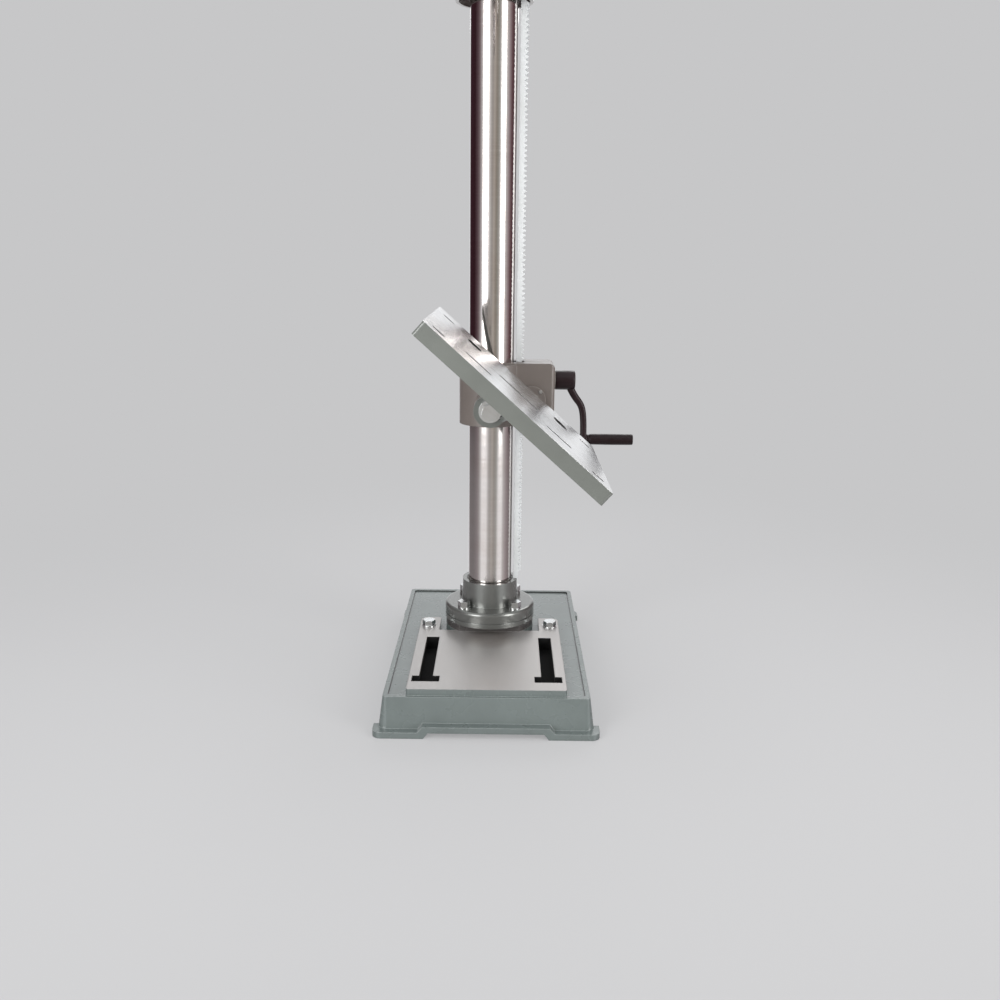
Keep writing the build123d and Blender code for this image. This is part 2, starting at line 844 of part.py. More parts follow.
def make_worm_wheel():
    """The worm wheel keyed on the pinion shaft."""
    outline = gear_outline(wheel_module, wheel_teeth, 90)
    points = [(pinion_x + x, pinion_height + z) for x, z in outline]
    front, back = wheel_y - wheel_width / 2, wheel_y + wheel_width / 2
    body = prism_y(points, front, back)
    return body - cyl_y(pinion_shaft_radius, front - overrun, back + overrun, pinion_x, pinion_height)


def make_worm_shaft():
    """The crank's shaft with the worm cut on it."""
    pitch = math.pi * wheel_module
    reach = worm_turns * pitch / 2
    lean = math.tan(math.radians(tooth_angle))
    half = tooth_share * pitch / 2
    root, tip = worm_pitch_radius - wheel_module, worm_pitch_radius + wheel_module * tip_share
    path = Pos(0, 0, -reach) * Helix(pitch, 2 * reach, worm_pitch_radius)
    sink = seat
    low, high = root - sink - worm_pitch_radius, tip - worm_pitch_radius
    corners = [(low, half - low * lean), (high, half - high * lean), (high, high * lean - half),
               (low, low * lean - half)]
    section = Plane(path @ 0, x_dir=(1, 0, 0), z_dir=path % 0) * make_face(Polyline(*corners, close=True))
    thread = sweep(section, path=path, is_frenet=True)
    thread = Pos(pinion_x, wheel_y, worm_height) * Rot(0, 90, 0) * thread
    ends = reach + pitch / 2
    body = cyl_x(root, pinion_x - ends, pinion_x + ends, wheel_y, worm_height) + thread
    body += cyl_x(worm_shaft_radius, pinion_x + ends, crank_in + crank_hub_length, wheel_y, worm_height)
    return body + cyl_x(worm_journal, worm_journal_in + seat, pinion_x - ends, wheel_y, worm_height)


def make_crank_arm():
    """The crank: hub on the worm shaft, curved arm and the boss of the grip's stud."""
    hub_end = crank_in + crank_hub_length
    grip_z = worm_height - crank_throw
    hub = cyl_x(crank_hub_radius, crank_in, hub_end, wheel_y, worm_height)
    lean = math.radians(crank_arm_lean)
    start = Vector(crank_arm_start, wheel_y, worm_height - crank_arm_drop)
    leave = start + Vector(math.sin(lean), 0, -math.cos(lean)) * crank_arm_leave
    end = Vector(crank_arm_end, wheel_y, grip_z)
    path = Bezier(start, leave, end + Vector(0, 0, crank_arm_rise), end)
    section = Plane(start, x_dir=(0, 1, 0), z_dir=path % 0) * RectangleRounded(
        crank_arm_width, crank_arm_thickness, crank_arm_thickness / 3)
    arm = sweep(section, path=path)
    boss_in = crank_arm_end - crank_boss_length / 2
    boss_out = crank_arm_end + crank_boss_length / 2
    body = hub + arm + cyl_x(crank_boss_radius, boss_in, boss_out, wheel_y, grip_z)
    body -= cyl_x(crank_stud_radius, boss_in - overrun, boss_out + overrun, wheel_y, grip_z)
    return body - cyl_x(worm_shaft_radius, crank_in - overrun, hub_end + overrun, wheel_y, worm_height)


def make_crank_stud():
    """The shouldered stud that the crank's grip turns on."""
    z = worm_height - crank_throw
    boss_in = crank_arm_end - crank_boss_length / 2
    grip_end = crank_arm_end + crank_boss_length / 2 + seat + crank_grip_length
    head_in = grip_end - crank_stud_head
    return cyl_x(crank_stud_radius, boss_in, grip_end, wheel_y, z) + cyl_x(
        crank_stud_head_radius, head_in, grip_end, wheel_y, z)


def make_crank_grip():
    """The turning grip of the crank."""
    z = worm_height - crank_throw
    left = crank_arm_end + crank_boss_length / 2 + seat
    right = left + crank_grip_length
    body = fillet(cyl_x(crank_grip_radius, left, right, wheel_y, z).edges().filter_by(GeomType.CIRCLE),
                  crank_grip_edge)
    body -= cyl_x(crank_stud_radius + run, left - overrun, right, wheel_y, z)
    return body - cyl_x(crank_stud_head_radius + run, right - crank_stud_head - seat, right + overrun, wheel_y, z)


def lock_lever():
    """The lever nut of the column lock, on the right of the lugs behind the column."""
    left = lock_lug_width / 2 + seat
    hub = cyl_x(lock_hub_radius, left, left + lock_hub_length, lock_bolt_out, lock_height)
    hub -= cyl_x(lock_bolt_radius + run, left - overrun, left + lock_hub_length + overrun, lock_bolt_out, lock_height)
    turn = Pos(left + lock_hub_length / 2, lock_bolt_out, lock_height) * Rot(-90 - lock_lever_drop, 0, 0)
    inner = (lock_hub_radius + lock_bolt_radius) / 2
    arm = Pos(0, 0, inner) * Cylinder(lock_lever_radius, lock_lever_length - inner, align=BOTTOM)
    return hub + turn * (arm + Pos(0, 0, lock_lever_length) * Sphere(lock_knob_radius))


def lock_bolt():
    """The bolt through the bracket's split lugs."""
    half = lock_lug_width / 2
    end = half + seat + lock_hub_length + lock_bolt_tail
    body = cyl_x(lock_bolt_radius, -half, end, lock_bolt_out, lock_height)
    return body + hex_x(lock_bolt_head, -half - lock_bolt_head_height, -half, lock_bolt_out, lock_height)


def tilted(shape):
    """Turn a shape, drawn level about the tilt axis, to the table's tilt."""
    return Pos(0, 0, tilt_height) * Rot(0, table_tilt, 0) * shape


def make_table():
    """The slotted table with its ribs and tilt lug, drawn level about the tilt axis."""
    under = table_rise - table_rim
    body = Pos(0, -table_middle, under) * extrude(
        RectangleRounded(table_width, table_depth, table_corner), table_rim)
    inner_width, inner_depth = table_width - 2 * table_wall, table_depth - 2 * table_wall
    inside = block(-inner_width / 2, inner_width / 2, -table_front + table_wall, -table_back - table_wall,
                   under, table_rise - table_plate)
    body -= inside
    for i in range(table_ribs):
        x = inner_width * ((i + 1) / (table_ribs + 1) - 1 / 2)
        y = -table_middle + inner_depth * ((i + 1) / (table_ribs + 1) - 1 / 2)
        body += block(x - table_rib / 2, x + table_rib / 2, -table_front + table_wall / 2,
                      -table_back - table_wall / 2, under, table_rise - table_plate)
        body += block(-inner_width / 2, inner_width / 2, y - table_rib / 2, y + table_rib / 2,
                      under, table_rise - table_plate)
    lug_back = -arm_front - seat
    lug_front = lug_back - lug_thickness
    body += cyl_y(lug_radius, lug_front, lug_back)
    body += block(-lug_web_width / 2, lug_web_width / 2, lug_front, lug_back, 0, table_rise - table_plate)
    for x in (-lug_web_width / 2, lug_web_width / 2 - lug_fin):
        fin = prism_x([(lug_front, 0), (lug_front, table_rise - table_plate),
                       (lug_front - lug_fin_length, table_rise - table_plate),
                       (lug_front - lug_fin_length, under)], x, x + lug_fin)
        body += fin
    body -= cyl_y(tilt_bolt_radius + run, lug_front - overrun, lug_back + overrun)
    for x, y, length, width in table_slots():
        cut = slab(length, width, min(length, width) / 2 - run, under - overrun, table_rise + overrun)
        body -= Pos(x, y - table_middle, 0) * cut
    return body


def table_slots():
    """Place and size of each slot: x, y from the table's middle, length in x, width in y."""
    corner = [(sx * corner_slot_x, y, corner_slot, table_slot)
              for sx in (-1, 1) for y in (corner_back_y, -corner_front_y)]
    front = [(sx * front_slot_x, -front_slot_y, front_slot, table_slot) for sx in (-1, 1)]
    back = [(sx * back_slot_x, back_slot_y, back_slot_width, back_slot) for sx in (-1, 1)]
    return corner + front + back + [(0, -middle_slot_y, middle_slot, table_slot)]


def tilt_bolt():
    """The bolt that the table tilts on, with its washer."""
    face = -arm_front - seat - lug_thickness
    under = face - tilt_washer_height
    body = cyl_y(tilt_bolt_radius, under, -arm_front + tilt_bolt_depth - seat)
    body += cyl_y(tilt_washer_radius, under, face - run)
    return tilted(body + hex_y(tilt_bolt_head, under - tilt_bolt_head_height, under))


def make_turret():
    """The turret that turns on the column top and holds the ram."""
    body = cyl_z(turret_radius, turret_bottom, turret_top)
    half = turret_half_length
    body += block(-turret_web_width / 2, turret_web_width / 2, -turret_web_length / 2, turret_web_length / 2,
                  column_top, ram_height)
    body += cyl_y(turret_sleeve_radius, -half, half, 0, ram_height)
    body += cyl_x(ram_pinion_boss, -ram_pinion_boss_in, ram_pinion_boss_out, 0, ram_pinion_height)
    body += cyl_x(clamp_boss_radius, -turret_radius - clamp_boss_length, 0, 0, turret_clamp_height)
    body += cyl_x(clamp_boss_radius, -turret_sleeve_radius - clamp_boss_length, 0, ram_clamp_y, ram_height)
    body -= cyl_z(column_radius + run, turret_bottom - overrun, column_top + seat)
    body -= cyl_y(ram_radius + run, -half - overrun, half + overrun, 0, ram_height)
    tip = ram_module * ram_teeth / 2 + ram_module + pinion_pocket_gap
    body -= cyl_x(tip, -ram_pinion_width / 2 - seat, ram_pinion_width / 2 + seat, 0, ram_pinion_height)
    body -= cyl_x(ram_shaft_radius + run, -ram_pinion_boss_in + base_wall, ram_pinion_boss_out + overrun,
                  0, ram_pinion_height)
    body -= cyl_x(clamp_screw_radius + run, -turret_radius - 2 * clamp_boss_length, 0, 0, turret_clamp_height)
    body -= cyl_x(clamp_screw_radius + run, -turret_radius - 2 * clamp_boss_length, 0, ram_clamp_y, ram_height)
    return body


def clamp_lever(inner, boss, y, z, angle):
    """A clamp screw along X with its hub, lever and ball, on the left of the turret."""
    left = -boss - clamp_boss_length - seat
    body = cyl_x(clamp_screw_radius, left, -inner - run, y, z)
    body += cyl_x(clamp_hub_radius, left - clamp_hub_length, left, y, z)
    arm = Cylinder(clamp_lever_radius, clamp_lever_length, align=BOTTOM)
    arm += Pos(0, 0, clamp_lever_length) * Sphere(clamp_knob_radius)
    return body + Pos(left - clamp_hub_length / 2, y, z) * Rot(angle, 0, 0) * arm


def make_ram():
    """The round ram with its rack in a channel along the top."""
    back = ram_back
    body = cyl_y(ram_radius, -ram_front, back, 0, ram_height)
    root = ram_pitch_height - ram_module
    half = ram_channel / 2
    front, rear = -ram_rack_margin, ram_travel + ram_rack_margin
    body -= block(-half, half, front, rear, ram_height + root, ram_height + ram_radius + overrun)
    face = ram_pitch_height + ram_module * tip_share
    outline = rack_outline(ram_module, face, root - seat, front, rear, run, 0)
    teeth = prism_x([(along, ram_height + out) for out, along in outline], -half, half)
    body += teeth & cyl_y(ram_radius - run, -ram_front, back, 0, ram_height)
    return body - cyl_y(ram_radius - ram_wall, -ram_front - overrun, back - ram_end, 0, ram_height)


def ram_pinion_shaft():
    """The shaft whose pinion moves the ram."""
    points = gear_outline(ram_module, ram_teeth, -90)
    gear = prism_x([(y, ram_pinion_height + z) for y, z in points], -ram_pinion_width / 2, ram_pinion_width / 2)
    end = handwheel_x + handwheel_hub_length / 2
    return gear + cyl_x(ram_shaft_radius, -ram_pinion_boss_in + base_wall + seat, end, 0, ram_pinion_height)


def ram_handwheel():
    """The spoked handwheel of the ram."""
    left, right = handwheel_x - handwheel_hub_length / 2, handwheel_x + handwheel_hub_length / 2
    rim = Rot(0, 90, 0) * Torus(wheel_rim_radius, wheel_rim_thickness)
    body = cyl_x(handwheel_hub_radius, left - handwheel_x, right - handwheel_x) + rim
    for k in range(handwheel_spokes):
        turn = 360 * k / handwheel_spokes
        body += Rot(turn, 0, 0) * Cylinder(handwheel_spoke_radius, wheel_rim_radius, align=BOTTOM)
    body -= cyl_x(ram_shaft_radius, left - handwheel_x - overrun, right - handwheel_x + overrun)
    return Pos(handwheel_x, 0, ram_pinion_height) * body


def make_head():
    """The head casting: quill housing, ram socket, web, feed boss and stop lug."""
    y = -spindle_y
    body = cyl_z(head_radius, head_bottom, head_top, 0, y)
    body += cyl_y(socket_radius, y, -socket_back, 0, ram_height)
    body += block(-web_width / 2, web_width / 2, y, -web_back, web_bottom, head_top)
    body += block(-front_block_width / 2, front_block_width / 2, -head_front, y, front_block_bottom, head_top)
    body += cyl_x(feed_boss_radius, -feed_boss_half, feed_boss_half, -feed_boss_y, feed_height)
    body += block(-stop_lug_out, -stop_lug_in, -stop_rod_y - stop_lug_width / 2,
                  -stop_rod_y + stop_lug_width / 2, stop_lug_bottom, stop_lug_bottom + stop_lug_height)
    body -= cyl_z(quill_radius + run, head_bottom - overrun, quill_bottom + quill_length + quill_room, 0, y)
    body -= cyl_z(bearing_radius + seat, head_bottom, head_top + overrun, 0, y)
    low = head_top - head_bearing_height
    body -= cyl_z(head_bearing_radius + run, low, head_top + overrun, 0, y)
    body -= cyl_y(ram_radius + run, -ram_front, -socket_back + overrun, 0, ram_height)
    tip = feed_module * feed_teeth / 2 + feed_module + pinion_pocket_gap
    body -= cyl_x(tip, -feed_width / 2 - seat, feed_width / 2 + seat, -feed_y, feed_height)
    body -= cyl_x(feed_shaft_radius + run, -feed_boss_half - overrun, feed_boss_half + overrun,
                  -feed_y, feed_height)
    body -= cyl_z(stop_rod_radius + seat, stop_lug_bottom - overrun,
                  stop_lug_bottom + stop_lug_height + overrun, -stop_rod_x, -stop_rod_y)
    for x in (-head_bolt_x, head_bolt_x):
        for z in motor_bolt_heights():
            body -= cyl_y(head_bolt_radius + run, -web_back - head_bolt_length, -web_back + overrun, x, z)
    for x in (-socket_radius, socket_radius):
        sign = -1 if x < 0 else 1
        far = x + sign * overrun
        body -= cyl_x(head_bolt_radius + run, min(0, far), max(0, far), -clamp_bolt_y, ram_height)
    return body


def motor_bolt_heights():
    """Heights of the bolts that hold the motor plate."""
    inset = head_bolt_head
    return (motor_plate_bottom + inset, motor_plate_bottom + motor_plate_height - inset)


def head_bolts():
    """The bolts of the motor plate and the two clamp bolts of the ram socket."""
    bolts = []
    outside = -web_back + motor_plate_thickness
    for x in (-head_bolt_x, head_bolt_x):
        for z in motor_bolt_heights():
            bolt = cyl_y(head_bolt_radius, -web_back - head_bolt_length + seat, outside, x, z)
            bolts.append(bolt + hex_y(head_bolt_head, outside, outside + head_bolt_head_height / 2, x, z))
    for sign in (-1, 1):
        near, far = sign * (ram_radius + run + seat), sign * (socket_radius + head_bolt_radius)
        bolt = cyl_x(head_bolt_radius, min(near, far), max(near, far), -clamp_bolt_y, ram_height)
        end = far + sign * head_bolt_head_height
        bolts.append(bolt + hex_x(head_bolt_head, min(far, end), max(far, end), -clamp_bolt_y, ram_height))
    return bolts


def make_quill():
    """The quill with its rack at the back."""
    y = -spindle_y
    top = quill_bottom + quill_length
    body = cyl_z(quill_radius, quill_bottom, top, 0, y)
    rack_low = quill_bottom + quill_rack_bottom
    rack_high = rack_low + quill_rack_length
    root = quill_radius - feed_pitch_depth - feed_module
    half = feed_width / 2 + seat
    body -= block(-half, half, y + root, y + quill_radius + overrun, rack_low, rack_high)
    face = quill_radius - feed_pitch_depth + feed_module * tip_share
    outline = rack_outline(feed_module, face, root - seat, rack_low, rack_high, run, feed_height)
    teeth = prism_x([(y + out, along) for out, along in outline], -half, half)
    body += teeth & cyl_z(quill_radius - run, rack_low, rack_high, 0, y)
    body -= cyl_z(spindle_radius + seat + quill_room, quill_bottom - overrun, top + overrun, 0, y)
    for low in (quill_bottom, top - bearing_height):
        body -= cyl_z(bearing_radius, low - overrun if low == quill_bottom else low,
                      low + bearing_height if low == quill_bottom else top + overrun, 0, y)
    return body


def bearing(inner, outer, low, height):
    """A plain ring that stands for a ball bearing, on the spindle's axis."""
    ring = cyl_z(outer, low, low + height, 0, -spindle_y)
    return ring - cyl_z(inner, low - overrun, low + height + overrun, 0, -spindle_y)


def make_spindle():
    """The spindle, with the nose that the chuck sits on."""
    body = cyl_z(spindle_radius, spindle_bottom, spindle_top, 0, -spindle_y)
    return body + cyl_z(nose_radius, spindle_bottom, spindle_bottom + nose_length, 0, -spindle_y)


def drive_sleeve():
    """The sleeve that the pulley turns and the spindle slides in."""
    body = cyl_z(sleeve_outer, drive_sleeve_bottom, drive_sleeve_top, 0, -spindle_y)
    return body - cyl_z(spindle_radius + run, drive_sleeve_bottom - overrun, drive_sleeve_top + overrun,
                        0, -spindle_y)


def pulley(radii, bore, y):
    """A stepped pulley with a belt groove in each step, from the bottom up."""
    parts = []
    for k, radius in enumerate(radii):
        low = pulley_bottom + k * pulley_step
        step = cyl_z(radius, low, low + pulley_step, 0, y)
        groove_low, groove_high = low + pulley_flange, low + pulley_step - pulley_flange
        groove = cyl_z(radius + overrun, groove_low, groove_high, 0, y)
        step -= groove - cyl_z(radius - belt_groove, groove_low, groove_high, 0, y)
        parts.append(step)
    return joined(parts) - cyl_z(bore, pulley_bottom - overrun, pulley_top + overrun, 0, y)


def drive_belt():
    """The belt on one step of both pulleys."""
    spindle_r = pulley_radii[belt_step] - belt_groove + seat
    motor_r = pulley_radii[-1 - belt_step] - belt_groove + seat
    low = pulley_bottom + belt_step * pulley_step + (pulley_step - belt_width) / 2
    gap = spindle_y - motor_y
    lean = math.asin((spindle_r - motor_r) / gap)

    def loop(extra):
        a, b = spindle_r + extra, motor_r + extra
        side = [(a * math.cos(lean), -spindle_y + a * math.sin(lean)),
                (b * math.cos(lean), -motor_y + b * math.sin(lean))]
        face = make_face(Polyline(side[0], side[1], (-side[1][0], side[1][1]), (-side[0][0], side[0][1]),
                                  close=True))
        shape = Pos(0, 0, low) * extrude(face, belt_width)
        shape += cyl_z(a, low, low + belt_width, 0, -spindle_y)
        return shape + cyl_z(b, low, low + belt_width, 0, -motor_y)
    return loop(belt_thickness) - loop(0)


def make_motor():
    """The motor with its shaft and the pad that bolts to the motor plate."""
    y = -motor_y
    body = cyl_z(motor_radius, motor_bottom, motor_top, 0, y)
    body += block(-motor_pad_width / 2 + head_bolt_head, motor_pad_width / 2 - head_bolt_head,
                  -web_back + motor_plate_thickness, y, motor_bottom + motor_plate_thickness,
                  motor_plate_bottom + motor_plate_height)
    return body + cyl_z(motor_shaft_radius, motor_top, motor_shaft_top, 0, y)


def motor_plate():
    """The plate between head and motor."""
    half = motor_plate_width / 2
    body = block(-half, half, -web_back, -web_back + motor_plate_thickness, motor_plate_bottom,
                 motor_plate_bottom + motor_plate_height)
    for x in (-head_bolt_x, head_bolt_x):
        for z in motor_bolt_heights():
            body -= cyl_y(head_bolt_radius + run, -web_back - overrun, -web_back + motor_plate_thickness + overrun,
                          x, z)
    return body


def guard_outline(inset):
    """The rounded outline of the belt guard."""
    width, depth = 2 * pan_half_width - 2 * inset, pan_front - pan_back - 2 * inset
    return Pos(0, -(pan_front + pan_back) / 2, 0) * RectangleRounded(width, depth, pan_corner - inset)


def guard_pan():
    """The pan under the belt, with the hinge bosses of its cover on the left."""
    top = head_top + pan_thickness
    body = Pos(0, 0, head_top) * extrude(guard_outline(0), pan_thickness)
    body -= cyl_z(sleeve_outer + seat, head_top - overrun, top + overrun, 0, -spindle_y)
    body -= cyl_z(motor_hub_radius, head_top - overrun, top + overrun, 0, -motor_y)
    return body


def guard_cover():
    """The hinged cover over the pulleys."""
    body = Pos(0, 0, guard_bottom) * extrude(guard_outline(0), guard_height)
    body -= Pos(0, 0, guard_bottom - overrun) * extrude(
        guard_outline(guard_wall), guard_height - guard_wall + overrun)
    return body - cyl_x(guard_knob_neck, pan_half_width - guard_wall - overrun, pan_half_width + overrun,
                        -(pan_front + pan_back) / 2, guard_bottom + guard_height / 2)


def guard_hinge():
    """The hinge barrels and pin on the left of the guard, carried by the pan."""
    x, z = guard_hinge_place()
    middle = -(pan_front + pan_back) / 2
    barrels = []
    for sign in (-1, 1):
        y = middle + sign * guard_hinge_length
        barrel = cyl_y(guard_hinge_radius, y - guard_hinge_length / 4, y + guard_hinge_length / 4, x, z)
        leaf = block(x, -pan_half_width, y - guard_hinge_length / 4, y + guard_hinge_length / 4,
                     head_top, z)
        barrels.append(barrel + leaf)
    return barrels


def guard_hinge_place():
    """The hinge axis of the guard's cover, beside the pan's left edge."""
    return -pan_half_width - guard_hinge_radius - seat, head_top + pan_thickness / 2


def guard_knob():
    """The knob on the right of the guard's cover."""
    y = -(pan_front + pan_back) / 2
    z = guard_bottom + guard_height / 2
    neck = cyl_x(guard_knob_neck, pan_half_width - guard_wall, pan_half_width + guard_knob_length / 2, y, z)
    return neck + cyl_x(guard_knob_radius, pan_half_width + seat + run, pan_half_width + guard_knob_length, y, z)


def feed_shaft():
    """The feed shaft with the pinion of the quill."""
    points = gear_outline(feed_module, feed_teeth, 180)
    gear = prism_x([(-feed_y + y, feed_height + z) for y, z in points], -feed_width / 2, feed_width / 2)
    return gear + cyl_x(feed_shaft_radius, -feed_boss_half - spring_case_length / 2,
                        feed_boss_half + feed_hub_length, -feed_y, feed_height)


def feed_hub():
    """The hub of the three feed arms."""
    left = feed_boss_half + seat
    right = feed_boss_half + feed_hub_length
    body = cyl_x(feed_hub_radius, left, right, -feed_y, feed_height)
    body -= cyl_x(feed_shaft_radius, left - overrun, right + overrun, -feed_y, feed_height)
    for turn in feed_arm_places():
        body -= turn * Cylinder(feed_arm_radius, feed_hub_radius + overrun, align=BOTTOM)
    return body


def feed_arm_places():
    """Where each feed arm leaves the hub, leaning outwards."""
    x = feed_boss_half + feed_hub_length / 2
    start = feed_shaft_radius + feed_arm_radius * math.sin(math.radians(feed_arm_lean)) + seat
    return [Pos(x, -feed_y, feed_height) * Rot(360 * k / feed_arm_count, 0, 0) * Rot(0, feed_arm_lean, 0)
            * Pos(0, 0, start) for k in range(feed_arm_count)]


def spring_case():
    """The case of the quill's return spring, with the spring inside it."""
    left = -feed_boss_half - spring_case_length
    body = cyl_x(spring_case_radius, left, -feed_boss_half, -feed_y, feed_height)
    return body - cyl_x(feed_shaft_radius + run, -feed_boss_half - spring_case_length / 2 - seat,
                        -feed_boss_half + overrun, -feed_y, feed_height)


def stop_collar():
    """The collar on the quill's foot that carries the depth rod."""
    low, high = quill_bottom - stop_collar_height, quill_bottom
    body = cyl_z(stop_collar_radius, low, high, 0, -spindle_y)
    body += block(-stop_lug_out, -stop_collar_radius / 2, -stop_rod_y - stop_lug_width / 2,
                  -stop_rod_y + stop_lug_width / 2, low, high)
    body -= cyl_z(nose_radius + seat, low - overrun, high + overrun, 0, -spindle_y)
    return body - cyl_z(stop_rod_radius, low - overrun, high + overrun, -stop_rod_x, -stop_rod_y)


def stop_rod():
    """The depth rod."""
    return cyl_z(stop_rod_radius, quill_bottom - stop_collar_height, stop_rod_top, -stop_rod_x, -stop_rod_y)


def stop_nut():
    """The depth nut, parked where the whole travel is free."""
    low = stop_lug_bottom + stop_lug_height + quill_travel + seat
    body = cyl_z(stop_nut_radius, low, low + stop_nut_height, -stop_rod_x, -stop_rod_y)
    return body - cyl_z(stop_rod_radius + run, low - overrun, low + stop_nut_height + overrun,
                        -stop_rod_x, -stop_rod_y)


def jaw_place(k):
    """The frame of one chuck jaw: its tip at the origin, its axis along Z."""
    return Pos(0, -spindle_y, jaw_tip) * Rot(0, 0, 360 * k / jaw_count) * Pos(jaw_tip_out, 0, 0) * Rot(
        0, jaw_lean, 0)


def chuck_body():
    """The chuck's body with the three slanted jaw bores."""
    y = -spindle_y
    body = cyl_z(chuck_body_radius, chuck_bottom, chuck_top, 0, y)
    body += Pos(0, y, chuck_bottom - chuck_nose) * Cone(
        chuck_body_radius - chuck_nose, chuck_body_radius, chuck_nose, align=BOTTOM)
    for k in range(jaw_count):
        body -= jaw_place(k) * Cylinder(jaw_radius + run, jaw_length + jaw_room, align=BOTTOM)
    return body


def chuck_jaw(k):
    """One jaw, flat on the side that grips."""
    jaw = Cylinder(jaw_radius, jaw_length, align=BOTTOM)
    return jaw_place(k) * jaw


def chuck_sleeve():
    """The turning sleeve of the chuck."""
    outer = chuck_body_radius + chuck_sleeve_wall
    high = chuck_sleeve_bottom + chuck_sleeve_height
    body = cyl_z(outer, chuck_sleeve_bottom, high, 0, -spindle_y)
    return body - cyl_z(chuck_body_radius + run, chuck_sleeve_bottom - overrun, high + overrun, 0, -spindle_y)


def switch_box():
    """The switch box on the front of the head, with the wells of its buttons."""
    top = switch_bottom + switch_height
    body = block(-switch_width / 2, switch_width / 2, -head_front - switch_depth, -head_front,
                 switch_bottom, top)
    for z in button_heights():
        body -= cyl_y(button_radius + seat, -head_front - switch_depth - overrun,
                      -head_front - switch_depth + button_length, 0, z)
    return body


def button_heights():
    """Heights of the stop and the start button."""
    middle = switch_bottom + switch_height / 2
    return middle - button_spacing / 2, middle + button_spacing / 2


def button(z):
    """A push button that stands out of the switch box."""
    face = -head_front - switch_depth
    return cyl_y(button_radius, face - button_collar, face + button_length - button_collar - seat, 0, z)


def main():
    """Write every node."""
    os.makedirs("parts", exist_ok=True)
    save("base_casting", make_base())
    save("base_bolts", *[base_bolt(x) for x in (-base_bolt_x, base_bolt_x)])
    save("column_flange", make_flange())
    save("flange_bolts", *[flange_bolt(x, y) for x, y in bolt_places()])
    save("set_screws", set_screw(flange_top + set_screw_height, column_radius + set_screw_length),
         set_screw(ring_bottom + ring_height / 2, column_radius + set_screw_length))
    save("column_tube", make_column())
    save("column_rack", make_rack())
    save("rack_ring", make_ring())
    save("table_bracket", make_bracket())
    save("bracket_lock_bolt", lock_bolt())
    save("bracket_lock_lever", lock_lever())
    save("gear_covers", gear_cover(front_cover_radius, front_screw_circle, -housing_front - cover_thickness),
         gear_cover(back_cover_radius, back_screw_circle, housing_back))
    save("cover_screws", *cover_screws(front_screw_circle, -housing_front, -1),
         *cover_screws(back_screw_circle, housing_back, 1))
    save("worm_shaft", make_worm_shaft())
    save("worm_wheel", make_worm_wheel())
    save("pinion_shaft", make_pinion_shaft())
    save("crank_arm", make_crank_arm())
    save("crank_stud", make_crank_stud())
    save("crank_grip", make_crank_grip())
    save("table", tilted(make_table()))
    save("tilt_bolt", tilt_bolt())
    save("turret", make_turret())
    save("turret_lock", clamp_lever(column_radius, turret_radius, 0, turret_clamp_height, 150))
    save("ram_lock", clamp_lever(ram_radius, turret_sleeve_radius, ram_clamp_y, ram_height, 40))
    save("ram", make_ram())
    save("ram_pinion_shaft", ram_pinion_shaft())
    save("ram_handwheel", ram_handwheel())
    save("head_casting", make_head())
    save("head_bolts", *head_bolts())
    save("quill", make_quill())
    save("quill_bearings", bearing(spindle_radius + run, bearing_radius - run, quill_bottom, bearing_height),
         bearing(spindle_radius + run, bearing_radius - run, quill_bottom + quill_length - bearing_height,
                 bearing_height))
    save("spindle", make_spindle())
    save("drive_sleeve", drive_sleeve())
    save("sleeve_bearing", bearing(sleeve_outer + run, head_bearing_radius, head_top - head_bearing_height,
                                   head_bearing_height))
    save("spindle_pulley", pulley(pulley_radii, sleeve_outer, -spindle_y))
    save("motor", make_motor())
    save("motor_fan_cover", cyl_z(fan_cover_radius, motor_bottom - fan_cover_height, motor_bottom, 0, -motor_y))
    save("motor_plate", motor_plate())
    save("motor_pulley", pulley(pulley_radii[::-1], motor_shaft_radius + run, -motor_y))
    save("drive_belt", drive_belt())
    save("guard_pan", guard_pan())
    save("guard_cover", guard_cover())
    save("guard_hinge", *guard_hinge())
    save("guard_knob", guard_knob())
    save("feed_shaft", feed_shaft())
    save("feed_hub", feed_hub())
    save("feed_arms", *[turn * Cylinder(feed_arm_radius, feed_arm_length, align=BOTTOM)
                        for turn in feed_arm_places()])
    save("feed_knobs", *[turn * Pos(0, 0, feed_arm_length + feed_knob_radius) * Sphere(feed_knob_radius)
                         for turn in feed_arm_places()])
    save("spring_case", spring_case())
    save("stop_collar", stop_collar())
    save("stop_rod", stop_rod())
    save("stop_nut", stop_nut())
    save("chuck_body", chuck_body())
    for k in range(jaw_count):
        save(f"chuck_jaw_{k + 1}", chuck_jaw(k))
    save("chuck_sleeve", chuck_sleeve())
    save("switch_box", switch_box())
    stop_z, start_z = button_heights()
    save("stop_button", button(stop_z))
    save("start_button", button(start_z))


main()
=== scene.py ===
"""Looks of the radial drill press: finishes, turned and swept detail pieces, and the studio.

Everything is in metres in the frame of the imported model: the floor at z = 0, the front facing -Y.
"""

from __future__ import annotations

import json
import logging
import math
from dataclasses import dataclass, field
from enum import Enum
from typing import Any, Callable, Sequence

import bmesh
import bpy
import numpy as np
from mathutils import Matrix, Vector

